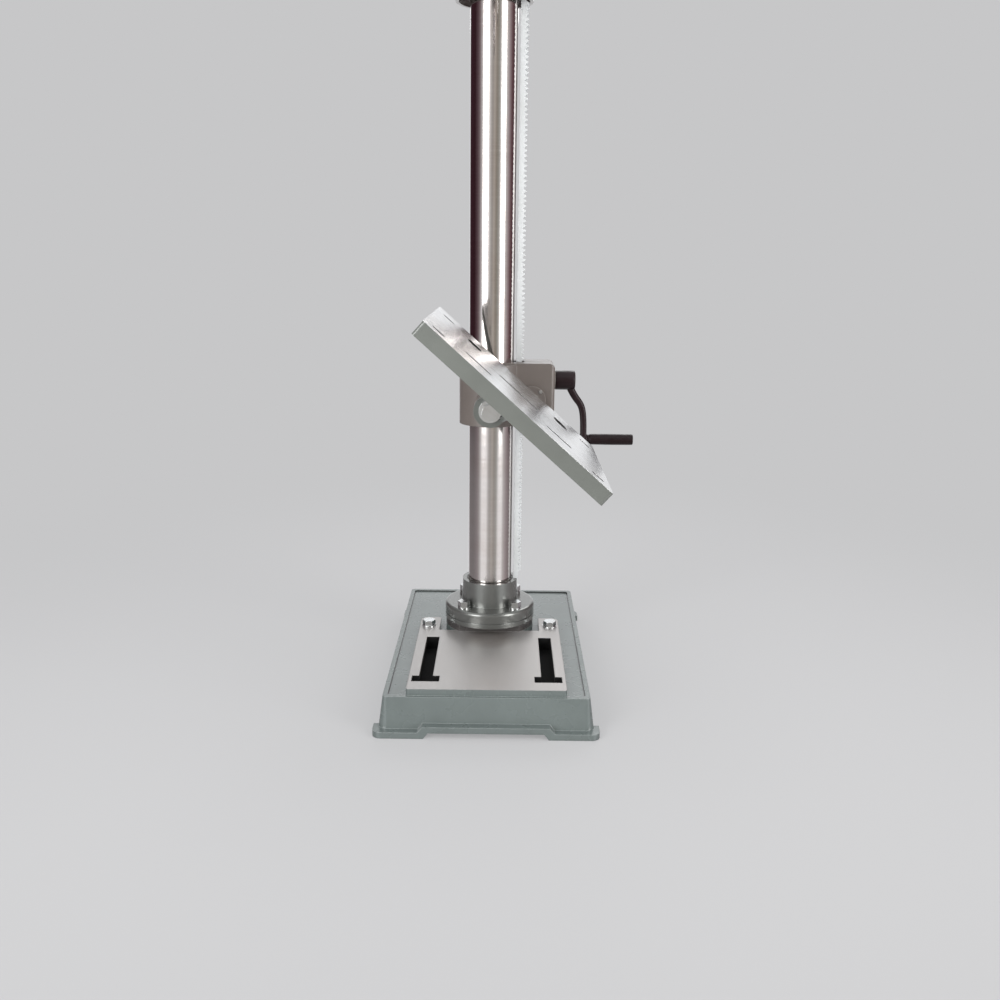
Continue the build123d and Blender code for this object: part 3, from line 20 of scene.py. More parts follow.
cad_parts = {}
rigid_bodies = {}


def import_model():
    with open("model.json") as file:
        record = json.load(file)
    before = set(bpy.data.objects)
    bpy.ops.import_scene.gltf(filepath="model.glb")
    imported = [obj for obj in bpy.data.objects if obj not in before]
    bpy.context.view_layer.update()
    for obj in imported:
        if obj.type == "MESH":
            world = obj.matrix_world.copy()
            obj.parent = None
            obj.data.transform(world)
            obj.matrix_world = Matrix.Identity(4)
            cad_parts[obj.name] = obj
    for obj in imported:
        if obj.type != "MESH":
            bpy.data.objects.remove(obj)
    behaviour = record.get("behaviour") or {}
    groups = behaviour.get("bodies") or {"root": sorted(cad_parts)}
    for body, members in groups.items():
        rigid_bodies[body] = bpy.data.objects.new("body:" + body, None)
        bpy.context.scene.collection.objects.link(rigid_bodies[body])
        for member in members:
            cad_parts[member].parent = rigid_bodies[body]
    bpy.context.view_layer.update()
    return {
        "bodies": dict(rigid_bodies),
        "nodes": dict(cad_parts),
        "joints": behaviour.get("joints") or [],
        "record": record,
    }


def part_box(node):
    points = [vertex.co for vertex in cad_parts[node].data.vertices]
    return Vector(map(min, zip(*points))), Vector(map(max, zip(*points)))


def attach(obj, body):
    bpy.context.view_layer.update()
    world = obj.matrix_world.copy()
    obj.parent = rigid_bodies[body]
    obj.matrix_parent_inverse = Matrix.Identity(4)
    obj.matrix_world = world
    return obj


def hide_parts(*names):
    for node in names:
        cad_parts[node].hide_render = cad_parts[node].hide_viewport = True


LOG = logging.getLogger("drill_press")
Colour = tuple[float, float, float]
Place = tuple[float, float, float]
Wave = Callable[[np.ndarray, np.ndarray], np.ndarray]
TAU = 2.0 * math.pi
ALONG_X: Place = (1.0, 0.0, 0.0)
ALONG_Y: Place = (0.0, 1.0, 0.0)
ALONG_Z: Place = (0.0, 0.0, 1.0)
WHITE: Colour = (1.0, 1.0, 1.0)


class Axis(Enum):
    """One of a place's three coordinates."""

    X = 0
    Y = 1
    Z = 2


class Slot(Enum):
    """The record's material slots."""

    BASE_PAINT = "base_paint"
    CAST_STEEL = "cast_steel"
    GROUND_STEEL = "ground_steel"
    BRIGHT_STEEL = "bright_steel"
    ZINC = "zinc"
    TABLE_IRON = "table_iron"
    BRACKET_PAINT = "bracket_paint"
    BLACK_PAINT = "black_paint"
    BLACK_PLASTIC = "black_plastic"
    BLACK_STEEL = "black_steel"
    BELT_RUBBER = "belt_rubber"
    GREEN_PLASTIC = "green_plastic"
    RED_PLASTIC = "red_plastic"
    PULLEY_METAL = "pulley_metal"


# Finishes


class Graph:
    """The node tree of one material or of the world, with a short call for each kind of node."""

    def __init__(self, name: str, tree: Any = None) -> None:
        """Start an empty tree.

        Args:
            name: the material's name.
            tree: the world's tree, where the graph isn't a material's.
        """
        if tree is None:
            self.material = bpy.data.materials.new(name)
            self.material.use_nodes = True
            tree = self.material.node_tree
        self.tree = tree
        self.tree.nodes.clear()
        self._place: Any = None

    def node(self, kind: str, **settings: Any) -> Any:
        """Add a node and set its properties.

        Args:
            kind: the node's type name.
            settings: properties of the node by name.

        Returns:
            The new node.
        """
        made = self.tree.nodes.new(kind)
        for name, value in settings.items():
            setattr(made, name, value)
        return made

    def feed(self, socket: Any, value: Any) -> None:
        """Link a socket, or set its value where it is plain.

        Args:
            socket: the input.
            value: an output socket, a number or a tuple.
        """
        if isinstance(value, bpy.types.NodeSocket):
            self.tree.links.new(value, socket)
        elif isinstance(value, tuple) and len(value) == 3 and socket.type == "RGBA":
            socket.default_value = (*value, 1.0)
        else:
            socket.default_value = value

    def place(self) -> Any:
        """The piece's own coordinates."""
        if self._place is None:
            self._place = self.node("ShaderNodeTexCoord")
        return self._place.outputs["Object"]

    def axis(self, which: Axis) -> Any:
        """One of the piece's own coordinates as a number.

        Args:
            which: the coordinate that is wanted.

        Returns:
            The coordinate.
        """
        split = self.node("ShaderNodeSeparateXYZ")
        self.feed(split.inputs[0], self.place())
        return split.outputs[which.value]

    def stretched(self, scale: tuple[float, float, float]) -> Any:
        """The piece's coordinates times a scale on each axis.

        Args:
            scale: the factor of each coordinate.

        Returns:
            The stretched coordinates.
        """
        mapped = self.node("ShaderNodeMapping")
        self.feed(mapped.inputs["Vector"], self.place())
        mapped.inputs["Scale"].default_value = scale
        return mapped.outputs[0]

    def noise(self, vector: Any, scale: float, detail: float = 3.0, rough: float = 0.55) -> Any:
        """Noise between 0 and 1.

        Args:
            vector: the coordinates.
            scale: how many features there are in a metre.
            detail: how many finer layers are added.
            rough: how strong those layers are.

        Returns:
            The noise as a number.
        """
        made = self.node("ShaderNodeTexNoise")
        self.feed(made.inputs["Vector"], vector)
        made.inputs["Scale"].default_value = scale
        made.inputs["Detail"].default_value = detail
        made.inputs["Roughness"].default_value = rough
        return made.outputs[0]

    def calc(self, kind: str, a: Any, b: Any = 0.0, c: Any = 0.0, clamp: bool = False) -> Any:
        """The result of an operation on one, two or three numbers.

        Args:
            kind: the operation's name.
            a: the first number or socket.
            b: the second.
            c: the third, where the operation has one.
            clamp: whether the result is held between 0 and 1.

        Returns:
            The result.
        """
        made = self.node("ShaderNodeMath", operation=kind, use_clamp=clamp)
        for socket, value in zip(made.inputs, (a, b, c)):
            self.feed(socket, value)
        return made.outputs[0]

    def spread(self, value: Any, low: float, high: float, out_low: float = 0.0, out_high: float = 1.0) -> Any:
        """A number carried smoothly from one range to another and held at its ends.

        Args:
            value: the number or socket.
            low: where the first range starts.
            high: where it ends.
            out_low: what low becomes.
            out_high: what high becomes.

        Returns:
            The number in the second range.
        """
        made = self.node("ShaderNodeMapRange", interpolation_type="SMOOTHSTEP")
        for name, number in (("Value", value), ("From Min", low), ("From Max", high),
                             ("To Min", out_low), ("To Max", out_high)):
            self.feed(made.inputs[name], number)
        return made.outputs[0]

    def blend(self, share: Any, a: Any, b: Any) -> Any:
        """A colour between two others.

        Args:
            share: 0 gives a and 1 gives b.
            a: a colour or a socket.
            b: a colour or a socket.

        Returns:
            The mixed colour.
        """
        made = self.node("ShaderNodeMix", data_type="RGBA")
        self.feed(made.inputs["Factor"], share)
        self.feed(made.inputs["A"], a)
        self.feed(made.inputs["B"], b)
        return made.outputs["Result"]

    def rounded(self, radius: float) -> Any:
        """The normal of the surface with its edges rounded to a radius.

        Args:
            radius: the radius in metres.

        Returns:
            The normal.
        """
        made = self.node("ShaderNodeBevel", samples=6)
        made.inputs["Radius"].default_value = radius
        return made.outputs[0]

    def bump(self, height: Any, depth: float, strength: float = 1.0, normal: Any = None) -> Any:
        """A normal tilted by a height.

        Args:
            height: the height as a number from 0 to 1.
            depth: what a height of 1 stands for, in metres.
            strength: how much of it is kept.
            normal: the normal to start from.

        Returns:
            The normal.
        """
        made = self.node("ShaderNodeBump")
        made.inputs["Strength"].default_value = strength
        made.inputs["Distance"].default_value = depth
        self.feed(made.inputs["Height"], height)
        if normal is not None:
            self.feed(made.inputs["Normal"], normal)
        return made.outputs[0]

    def choose(self, share: Any, a: Any, b: Any) -> Any:
        """A number between two others.

        Args:
            share: 0 gives a and 1 gives b.
            a: a number or a socket.
            b: a number or a socket.

        Returns:
            The mixed number.
        """
        made = self.node("ShaderNodeMix", data_type="FLOAT")
        self.feed(made.inputs["Factor"], share)
        self.feed(made.inputs["A"], a)
        self.feed(made.inputs["B"], b)
        return made.outputs[0]

    def shaded(self, share: Any, a: Any, b: Any) -> Any:
        """A shader between two others.

        Args:
            share: 0 gives a and 1 gives b.
            a: a shader.
            b: a shader.

        Returns:
            The mixed shader.
        """
        made = self.node("ShaderNodeMixShader")
        for socket, value in zip(made.inputs, (share, a, b)):
            self.feed(socket, value)
        return made.outputs[0]

    def facing(self, vector: Any, direction: Any) -> Any:
        """The dot product of two directions, or how far a place lies along one.

        Args:
            vector: a direction or a place.
            direction: the direction that it is held against.

        Returns:
            The product as a number.
        """
        made = self.node("ShaderNodeVectorMath", operation="DOT_PRODUCT")
        self.feed(made.inputs[0], vector)
        self.feed(made.inputs[1], direction)
        return made.outputs["Value"]

    def opposite(self, share: Any) -> Any:
        """One less a share."""
        return self.calc("SUBTRACT", 1.0, share)

    def within(self, value: Any, limit: float) -> Any:
        """1 where a number is less than a limit from zero, else 0."""
        return self.calc("LESS_THAN", self.calc("ABSOLUTE", value), limit)

    def inside(self, value: Any, low: float, high: float) -> Any:
        """1 where a number lies between two others, else 0."""
        above = self.calc("GREATER_THAN", value, low)
        return self.calc("MULTIPLY", above, self.calc("LESS_THAN", value, high))

    def all_of(self, *tests: Any) -> Any:
        """The product of several shares."""
        result = tests[0]
        for test in tests[1:]:
            result = self.calc("MULTIPLY", result, test)
        return result

    def finish(self, **inputs: Any) -> bpy.types.Material:
        """Close the tree with a surface shader.

        Args:
            inputs: the shader's inputs, with underscores for spaces.

        Returns:
            The material.
        """
        shader = self.node("ShaderNodeBsdfPrincipled")
        for name, value in inputs.items():
            self.feed(shader.inputs[name.replace("_", " ")], value)
        out = self.node("ShaderNodeOutputMaterial")
        self.feed(out.inputs["Surface"], shader.outputs[0])
        return self.material


@dataclass(frozen=True)
class CastPaint:
    """Thick gloss paint over a sand casting: orange peel, soft hollows, paler edges that are partly worn
    paint and partly a painted highlight.
    """

    name: str
    colour: Colour
    # The paler colour of the edges: worn paint, and a painted highlight along every edge.
    edge_wear_and_highlight: Colour
    roughness: float = 0.28
    metallic: float = 0.0
    coat: float = 0.5
    peel: float = 210.0
    peel_depth: float = 0.00016
    cast_depth: float = 0.0007
    edge_radius: float = 0.0026
    # The even share of the paler colour along every edge, which is a painted highlight; the wear noise is
    # added to it.
    painted_edge_highlight: float = 0.25
    cloud_scale: float = 9.0
    cloud_dark: float = 0.86
    wear_scale: float = 70.0
    hollow_scale: float = 26.0
    gloss_scale: float = 22.0
    coat_roughness: float = 0.12
    glossy_share: float = 0.8
    dull_share: float = 1.25

    def colours(self, graph: Graph) -> Any:
        """The paint's colour with its cloudy variation and paler edges, partly wear and partly a painted
        highlight.

        Args:
            graph: the material's tree.

        Returns:
            The colour.
        """
        cloud = graph.spread(graph.noise(graph.place(), self.cloud_scale, 4.0), 0.3, 0.7)
        dark = tuple(c * self.cloud_dark for c in self.colour)
        base = graph.blend(cloud, dark, self.colour)
        wear = graph.spread(graph.noise(graph.place(), self.wear_scale, 5.0, 0.7), 0.60, 0.72)
        flat = graph.node("ShaderNodeNewGeometry").outputs["Normal"]
        edges = graph.spread(graph.facing(graph.rounded(self.edge_radius * 0.7), flat), 0.985, 0.86)
        # Paler edges: the noise is worn paint, and the even share added to it is a painted highlight.
        share = graph.calc("MULTIPLY", edges, graph.calc("ADD", wear, self.painted_edge_highlight, clamp=True))
        return graph.blend(share, base, self.edge_wear_and_highlight)

    def relief(self, graph: Graph) -> Any:
        """The normal: rounded edges, cast hollows and orange peel.

        Args:
            graph: the material's tree.

        Returns:
            The normal.
        """
        normal = graph.rounded(self.edge_radius)
        normal = graph.bump(graph.noise(graph.place(), self.hollow_scale, 1.0), self.cast_depth, 0.3, normal)
        return graph.bump(graph.noise(graph.place(), self.peel, 1.0), self.peel_depth, 0.4, normal)

    def gloss(self, graph: Graph, low: float, high: float) -> Any:
        """The roughness, which wanders between two values."""
        return graph.spread(graph.noise(graph.place(), self.gloss_scale, 3.0), 0.25, 0.75, low, high)

    def plain_gloss(self, graph: Graph) -> Any:
        """The roughness of the plain paint, which wanders round its own value."""
        return self.gloss(graph, self.roughness * self.glossy_share, self.roughness * self.dull_share)

    def build(self) -> bpy.types.Material:
        """The material of a plain painted casting."""
        graph = Graph(self.name)
        return graph.finish(Base_Color=self.colours(graph), Roughness=self.plain_gloss(graph),
                            Metallic=self.metallic, Coat_Weight=self.coat,
                            Coat_Roughness=self.coat_roughness, Normal=self.relief(graph))


@dataclass(frozen=True)
class BasePaint(CastPaint):
    """The base's paint, with the ground pad on top, painted shade in its slots, under the flange and at the
    foot of its rim, and a painted shadow of the flange on the pad.
    """

    hair: float = 0.0003
    pad_height: float = 0.085
    slot_x: float = 0.116
    slot_half: float = 0.0266
    slot_front: float = -0.2645
    slot_back: float = -0.0385
    slot_floor: float = 0.05
    # Painted shade: the inside of the slots is darkened to near black as deep shade.
    painted_slot_shade: Colour = (0.002, 0.002, 0.002)
    steel: Colour = (0.355, 0.343, 0.335)
    stained: Colour = (0.345, 0.33, 0.32)
    scratch: Colour = (0.44, 0.435, 0.43)
    scratch_scale: float = 900.0
    pad_metal: float = 0.55
    # A painted shadow: brown shade on the pad in front of the flange and column, where they block the lamps.
    painted_flange_shadow: Colour = (0.125, 0.088, 0.062)
    flange_shadow_share: float = 0.42
    flange_shadow_x: float = 0.052
    flange_shadow_y: float = -0.040
    flange_shadow_reach: float = 0.058
    # Painted shade: the boss wall under the flange darkened, as it lies in the overhang's shadow and mirrors
    # the dark room.
    boss: Colour = (0.045, 0.033, 0.032)
    boss_shade_share: float = 0.8
    boss_y: float = 0.065
    boss_radius: float = 0.0955
    # Painted shade: a dark line in the corner at the foot of the rim round the recessed top.
    painted_recess_shade: Colour = (0.02, 0.02, 0.02)
    recess_shade_share: float = 0.9
    recess_shade_half: float = 0.0018
    recess_shade_edge: float = 0.002
    recess_shade_low: float = 0.068
    recess_shade_high: float = 0.0714
    recess_x: float = 0.183
    recess_y: float = 0.295

    def slots(self, graph: Graph, x: Any, y: Any, z: Any) -> Any:
        """1 inside the two slots, below the pad's top.

        Args:
            graph: the material's tree.
            x: the place's first coordinate.
            y: its second.
            z: its third.

        Returns:
            The share, 1 inside and 0 outside.
        """
        near = graph.calc("SUBTRACT", graph.calc("ABSOLUTE", x), self.slot_x)
        return graph.all_of(graph.within(near, self.slot_half),
                            graph.inside(y, self.slot_front, self.slot_back),
                            graph.inside(z, self.slot_floor, self.pad_height - self.hair))

    def ground(self, graph: Graph, lines: Any, x: Any, y: Any) -> Any:
        """The pad's ground steel: faint stains, pale scratches and a painted brown shadow in front of the
        flange.

        The painted shadow fades with (x / its half width)^2 + ((y - its middle) / its reach)^2.

        Args:
            graph: the material's tree.
            lines: the grinding lines, from 0 to 1.
            x: the place's first coordinate.
            y: its second.

        Returns:
            The colour.
        """
        stain = graph.spread(graph.noise(graph.place(), 7.0, 3.0), 0.35, 0.75)
        steel = graph.blend(stain, self.steel, self.stained)
        steel = graph.blend(graph.spread(lines, 0.4, 0.7, 0.0, 0.25), steel, self.scratch)
        # The painted flange shadow: a soft ellipse of brown, broken up by noise.
        wide = graph.calc("POWER", graph.calc("DIVIDE", x, self.flange_shadow_x), 2.0)
        deep = graph.calc("DIVIDE", graph.calc("SUBTRACT", y, self.flange_shadow_y), self.flange_shadow_reach)
        far = graph.calc("ADD", wide, graph.calc("MULTIPLY", deep, deep))
        patchy = graph.spread(graph.noise(graph.place(), 30.0, 3.0), 0.3, 0.6, 0.75, 1.0)
        share = graph.calc("MULTIPLY", graph.spread(far, 1.5, 0.1, 0.0, self.flange_shadow_share), patchy)
        return graph.blend(share, steel, self.painted_flange_shadow)

    def seat(self, graph: Graph, x: Any, y: Any, z: Any) -> Any:
        """1 on the boss above the pad, inside a circle round the column, where its shade is painted.

        Args:
            graph: the material's tree.
            x: the place's first coordinate.
            y: its second.
            z: its third.

        Returns:
            The share, 1 inside and 0 outside.
        """
        out = graph.calc("POWER", graph.calc("SUBTRACT", y, self.boss_y), 2.0)
        out = graph.calc("ADD", out, graph.calc("MULTIPLY", x, x))
        return graph.calc("MULTIPLY", graph.calc("GREATER_THAN", z, self.pad_height + self.hair),
                          graph.calc("LESS_THAN", out, self.boss_radius ** 2))

    def recess_shade_mask(self, graph: Graph, x: Any, y: Any, z: Any) -> Any:
        """1 along the foot of the rim round the recessed top, where shade is painted into the corner.

        Args:
            graph: the material's tree.
            x: the place's first coordinate.
            y: its second.
            z: its third.

        Returns:
            The share, 1 on the painted shade and 0 elsewhere.
        """
        far_x, far_y = graph.calc("ABSOLUTE", x), graph.calc("ABSOLUTE", y)
        side = graph.calc("COMPARE", far_x, self.recess_x, self.recess_shade_half)
        end = graph.calc("COMPARE", far_y, self.recess_y, self.recess_shade_half)
        return graph.all_of(graph.calc("MAXIMUM", side, end),
                            graph.calc("LESS_THAN", far_x, self.recess_x + self.recess_shade_edge),
                            graph.calc("LESS_THAN", far_y, self.recess_y + self.recess_shade_edge),
                            graph.inside(z, self.recess_shade_low, self.recess_shade_high))

    def build(self) -> bpy.types.Material:
        """The material of the base casting."""
        graph = Graph(self.name)
        x, y, z = graph.axis(Axis.X), graph.axis(Axis.Y), graph.axis(Axis.Z)
        pad = graph.calc("COMPARE", z, self.pad_height, self.hair)
        slot = self.slots(graph, x, y, z)
        lines = graph.noise(graph.stretched((1.0, 0.02, 1.0)), self.scratch_scale, 2.0)
        # Painted shade in the corner at the foot of the rim.
        painted_recess_shade = graph.calc("MULTIPLY", self.recess_shade_mask(graph, x, y, z), self.recess_shade_share)
        # Painted shade on the boss under the flange.
        seat = graph.calc("MULTIPLY", self.seat(graph, x, y, z), self.boss_shade_share)
        colour = graph.blend(painted_recess_shade, self.colours(graph), self.painted_recess_shade)
        colour = graph.blend(seat, colour, self.boss)
        colour = graph.blend(pad, colour, self.ground(graph, lines, x, y))
        # Painted shade inside the slots.
        colour = graph.blend(slot, colour, self.painted_slot_shade)
        paint = graph.calc("ADD", self.plain_gloss(graph), slot, clamp=True)
        rough = graph.choose(pad, paint, graph.spread(lines, 0.3, 0.7, 0.34, 0.46))
        coat = graph.calc("MULTIPLY", graph.opposite(graph.calc("MAXIMUM", pad, slot)), self.coat)
        metal = graph.calc("MULTIPLY", pad, self.pad_metal)
        return graph.finish(Base_Color=colour, Roughness=rough, Metallic=metal, Coat_Weight=coat,
                            Coat_Roughness=self.coat_roughness, Normal=self.relief(graph))


@dataclass(frozen=True)
class TablePaint(CastPaint):
    """The table's pale paint, with its ground top and painted shade on its slot walls."""

    coat_roughness: float = 0.15
    hair: float = 0.0003
    middle_y: float = -0.2535
    pivot: float = 0.5726
    rise: float = 0.0778
    plate: float = 0.012
    tilt: float = math.radians(41.8)
    half_x: float = 0.193
    half_y: float = 0.196
    steel: Colour = (0.66, 0.665, 0.67)
    stained: Colour = (0.58, 0.57, 0.56)
    scratch: Colour = (0.76, 0.765, 0.77)
    scratch_scale: float = 1100.0
    # Painted shade on the slot walls below the ground top.
    painted_slot_shade: Colour = (0.012, 0.011, 0.011)
    top_metal: float = 0.95

    def build(self) -> bpy.types.Material:
        """The material of the table casting.

        The place is read along the tilted table: up is at right angles to its top, side runs along it.
        """
        graph = Graph(self.name)
        sine, cosine = math.sin(self.tilt), math.cos(self.tilt)
        up = graph.facing(graph.place(), (sine, 0.0, cosine))
        side = graph.calc("ADD", graph.facing(graph.place(), (cosine, 0.0, -sine)), self.pivot * sine)
        deep = graph.calc("SUBTRACT", graph.axis(Axis.Y), self.middle_y)
        face = self.pivot * cosine + self.rise
        top = graph.calc("COMPARE", up, face, self.hair)
        # The slot walls below the ground top, where shade is painted.
        wall = graph.all_of(graph.inside(up, face - self.plate, face - self.hair),
                            graph.within(side, self.half_x), graph.within(deep, self.half_y))
        joined = graph.node("ShaderNodeCombineXYZ")
        graph.feed(joined.inputs[0], graph.calc("MULTIPLY", side, 0.03))
        graph.feed(joined.inputs[1], deep)
        lines = graph.noise(joined.outputs[0], self.scratch_scale, 2.0)
        cloud = graph.spread(graph.noise(graph.place(), 11.0, 3.0), 0.35, 0.7)
        steel = graph.blend(cloud, self.steel, self.stained)
        steel = graph.blend(graph.spread(lines, 0.4, 0.75, 0.0, 0.3), steel, self.scratch)
        colour = graph.blend(top, self.colours(graph), steel)
        colour = graph.blend(wall, colour, self.painted_slot_shade)
        rough = graph.choose(top, self.gloss(graph, 0.3, 0.42), graph.spread(lines, 0.3, 0.7, 0.15, 0.24))
        metal = graph.calc("MULTIPLY", top, self.top_metal)
        coat = graph.calc("MULTIPLY", graph.opposite(top), self.coat)
        return graph.finish(Base_Color=colour, Roughness=rough, Metallic=metal, Coat_Weight=coat,
                            Coat_Roughness=self.coat_roughness, Normal=self.relief(graph))


@dataclass(frozen=True)
class GroundMetal:
    """Metal turned or ground along one direction: fine lines, faint stains, rounded edges."""

    name: str
    colour: Colour
    stain: Colour
    roughness: float = 0.2
    lines: tuple[float, float, float] = (0.02, 0.02, 1.0)
    line_scale: float = 900.0
    line_depth: float = 0.00002
    edge_radius: float = 0.0005
    metallic: float = 1.0
    cloud_scale: float = 13.0
    fine_gain: float = 1.12

    def build(self) -> bpy.types.Material:
        """The material."""
        graph = Graph(self.name)
        lines = graph.noise(graph.stretched(self.lines), self.line_scale, 3.0, 0.7)
        cloud = graph.spread(graph.noise(graph.place(), self.cloud_scale, 4.0), 0.35, 0.75)
        colour = graph.blend(cloud, self.colour, self.stain)
        fine = tuple(min(1.0, c * self.fine_gain) for c in self.colour)
        colour = graph.blend(graph.spread(lines, 0.45, 0.75, 0.0, 0.5), colour, fine)
        rough = graph.spread(lines, 0.3, 0.7, self.roughness * 0.8, self.roughness * 1.3)
        normal = graph.bump(lines, self.line_depth, 0.35, graph.rounded(self.edge_radius))
        return graph.finish(Base_Color=colour, Roughness=rough, Metallic=self.metallic, Normal=normal)


@dataclass(frozen=True)
class Moulded:
    """Moulded plastic, rubber or smooth enamel with a faint skin and dust in its colour."""

    name: str
    colour: Colour
    pale: Colour
    roughness: float = 0.3
    coat: float = 0.0
    grain: float = 900.0
    grain_depth: float = 0.00008
    edge_radius: float = 0.0006
    bend: float = 1.45
    dust_scale: float = 45.0
    gloss_scale: float = 60.0
    coat_roughness: float = 0.08

    def build(self) -> bpy.types.Material:
        """The material."""
        graph = Graph(self.name)
        cloud = graph.spread(graph.noise(graph.place(), self.dust_scale, 5.0, 0.65), 0.45, 0.8, 0.0, 0.6)
        colour = graph.blend(cloud, self.colour, self.pale)
        rough = graph.spread(graph.noise(graph.place(), self.gloss_scale, 3.0), 0.3, 0.7,
                             self.roughness * 0.85, self.roughness * 1.2)
        normal = graph.bump(graph.noise(graph.place(), self.grain, 2.0), self.grain_depth, 0.5,
                            graph.rounded(self.edge_radius))
        return graph.finish(Base_Color=colour, Roughness=rough, IOR=self.bend, Coat_Weight=self.coat,
                            Coat_Roughness=self.coat_roughness, Normal=normal)


ALL_WAYS: Place = (1.0, 1.0, 1.0)
PAINT_GREEN: Colour = (0.137, 0.162, 0.157)
# The paler edge colour: worn paint and a painted highlight.
PAINT_EDGE_WEAR_AND_HIGHLIGHT: Colour = (0.42, 0.45, 0.44)

FINISHES: dict[Slot, CastPaint | GroundMetal | Moulded] = {
    Slot.BASE_PAINT: CastPaint("hammered_paint", PAINT_GREEN, PAINT_EDGE_WEAR_AND_HIGHLIGHT, metallic=0.25),
    Slot.CAST_STEEL: GroundMetal(
        "cast_steel_finish", (0.40, 0.39, 0.38), (0.33, 0.31, 0.30), roughness=0.34,
        lines=ALL_WAYS, line_scale=260.0, line_depth=0.0002, edge_radius=0.001),
    Slot.GROUND_STEEL: GroundMetal(
        "column_steel", (0.62, 0.585, 0.57), (0.57, 0.52, 0.495), roughness=0.11),
    Slot.BRIGHT_STEEL: GroundMetal(
        "bright_steel_finish", (0.80, 0.81, 0.82), (0.70, 0.69, 0.68), roughness=0.25,
        lines=(1.0, 1.0, 0.05), line_scale=700.0),
    Slot.ZINC: GroundMetal(
        "zinc_plate", (0.74, 0.76, 0.77), (0.62, 0.62, 0.60), roughness=0.2,
        lines=ALL_WAYS, line_scale=420.0, line_depth=0.00006, edge_radius=0.0006),
    Slot.TABLE_IRON: TablePaint(
        "table_finish", (0.142, 0.152, 0.138), (0.40, 0.42, 0.41), roughness=0.26,
        coat=0.7, edge_radius=0.0012),
    Slot.BRACKET_PAINT: CastPaint(
        "bracket_casting", (0.150, 0.128, 0.115), (0.34, 0.32, 0.30), roughness=0.42,
        coat=0.15, peel=190.0, edge_radius=0.003),
    Slot.BLACK_PAINT: Moulded(
        "black_enamel", (0.013, 0.0045, 0.006), (0.020, 0.009, 0.012), roughness=0.36,
        grain=160.0, grain_depth=0.00012, edge_radius=0.0015, bend=1.36),
    Slot.BLACK_PLASTIC: Moulded(
        "black_phenolic", (0.008, 0.002, 0.003), (0.013, 0.005, 0.007), roughness=0.38,
        grain=700.0, grain_depth=0.00003, bend=1.34),
    Slot.BLACK_STEEL: GroundMetal(
        "black_oxide", (0.075, 0.07, 0.07), (0.05, 0.045, 0.042), roughness=0.34,
        lines=ALL_WAYS, line_scale=500.0, line_depth=0.00004, edge_radius=0.0004),
    Slot.BELT_RUBBER: Moulded(
        "belt_rubber_finish", (0.018, 0.018, 0.018), (0.04, 0.038, 0.036), roughness=0.75,
        grain=1400.0, grain_depth=0.0003),
    Slot.GREEN_PLASTIC: Moulded("green_button", (0.02, 0.27, 0.07), (0.04, 0.33, 0.1), coat=0.2),
    Slot.RED_PLASTIC: Moulded("red_button", (0.45, 0.012, 0.01), (0.55, 0.03, 0.02), coat=0.2),
    Slot.PULLEY_METAL: GroundMetal(
        "turned_aluminium", (0.68, 0.69, 0.70), (0.55, 0.55, 0.55), roughness=0.3,
        lines=(0.05, 0.05, 1.0), line_scale=1500.0, line_depth=0.00003, edge_radius=0.0004),
}

NODE_FINISHES: dict[str, CastPaint | GroundMetal] = {
    # The base and the collar carry a stronger painted highlight along their edges.
    "base_casting": BasePaint(
        "base_finish", PAINT_GREEN, PAINT_EDGE_WEAR_AND_HIGHLIGHT, metallic=0.25, peel_depth=0.00006,
        cast_depth=0.00025, painted_edge_highlight=0.55),
    "column_flange": CastPaint(
        "collar_paint", (0.185, 0.19, 0.18), (0.50, 0.52, 0.51), roughness=0.22, metallic=0.6,
        peel_depth=0.00003, cast_depth=0.0002, edge_radius=0.0012, painted_edge_highlight=0.5),
    "column_rack": GroundMetal(
        "rack_steel", (0.66, 0.68, 0.69), (0.60, 0.62, 0.62), roughness=0.38, metallic=0.3),
}


@dataclass
class Palette:
    """Every finish of the press, each made once: by slot, and for the nodes with one of their own."""

    made: dict[Slot, bpy.types.Material] = field(default_factory=dict)
    special: dict[str, bpy.types.Material] = field(default_factory=dict)

    def mix(self) -> None:
        """Make the materials."""
        self.made = {slot: finish.build() for slot, finish in FINISHES.items()}
        self.special = {node: finish.build() for node, finish in NODE_FINISHES.items()}


# Studio


@dataclass(frozen=True)
class Lamp:
    """A soft box: where it stands, its width and height, its power in watts and its light."""

    name: str
    place: Place
    size: tuple[float, float]
    power: float
    colour: Colour = WHITE

    def hang(self, aim: Place) -> None:
        """Put the lamp up so that it looks at a place.

        Args:
            aim: what it looks at.
        """
        data = bpy.data.lights.new(self.name, "AREA")
        data.shape = "RECTANGLE"
        data.size, data.size_y = self.size
        data.energy, data.color = self.power, self.colour
        made = bpy.data.objects.new(self.name, data)
        turn = (Vector(aim) - Vector(self.place)).to_track_quat("-Z", "Y")
        made.matrix_world = Matrix.Translation(self.place) @ turn.to_matrix().to_4x4()
        made.visible_camera = False
        bpy.context.scene.collection.objects.link(made)


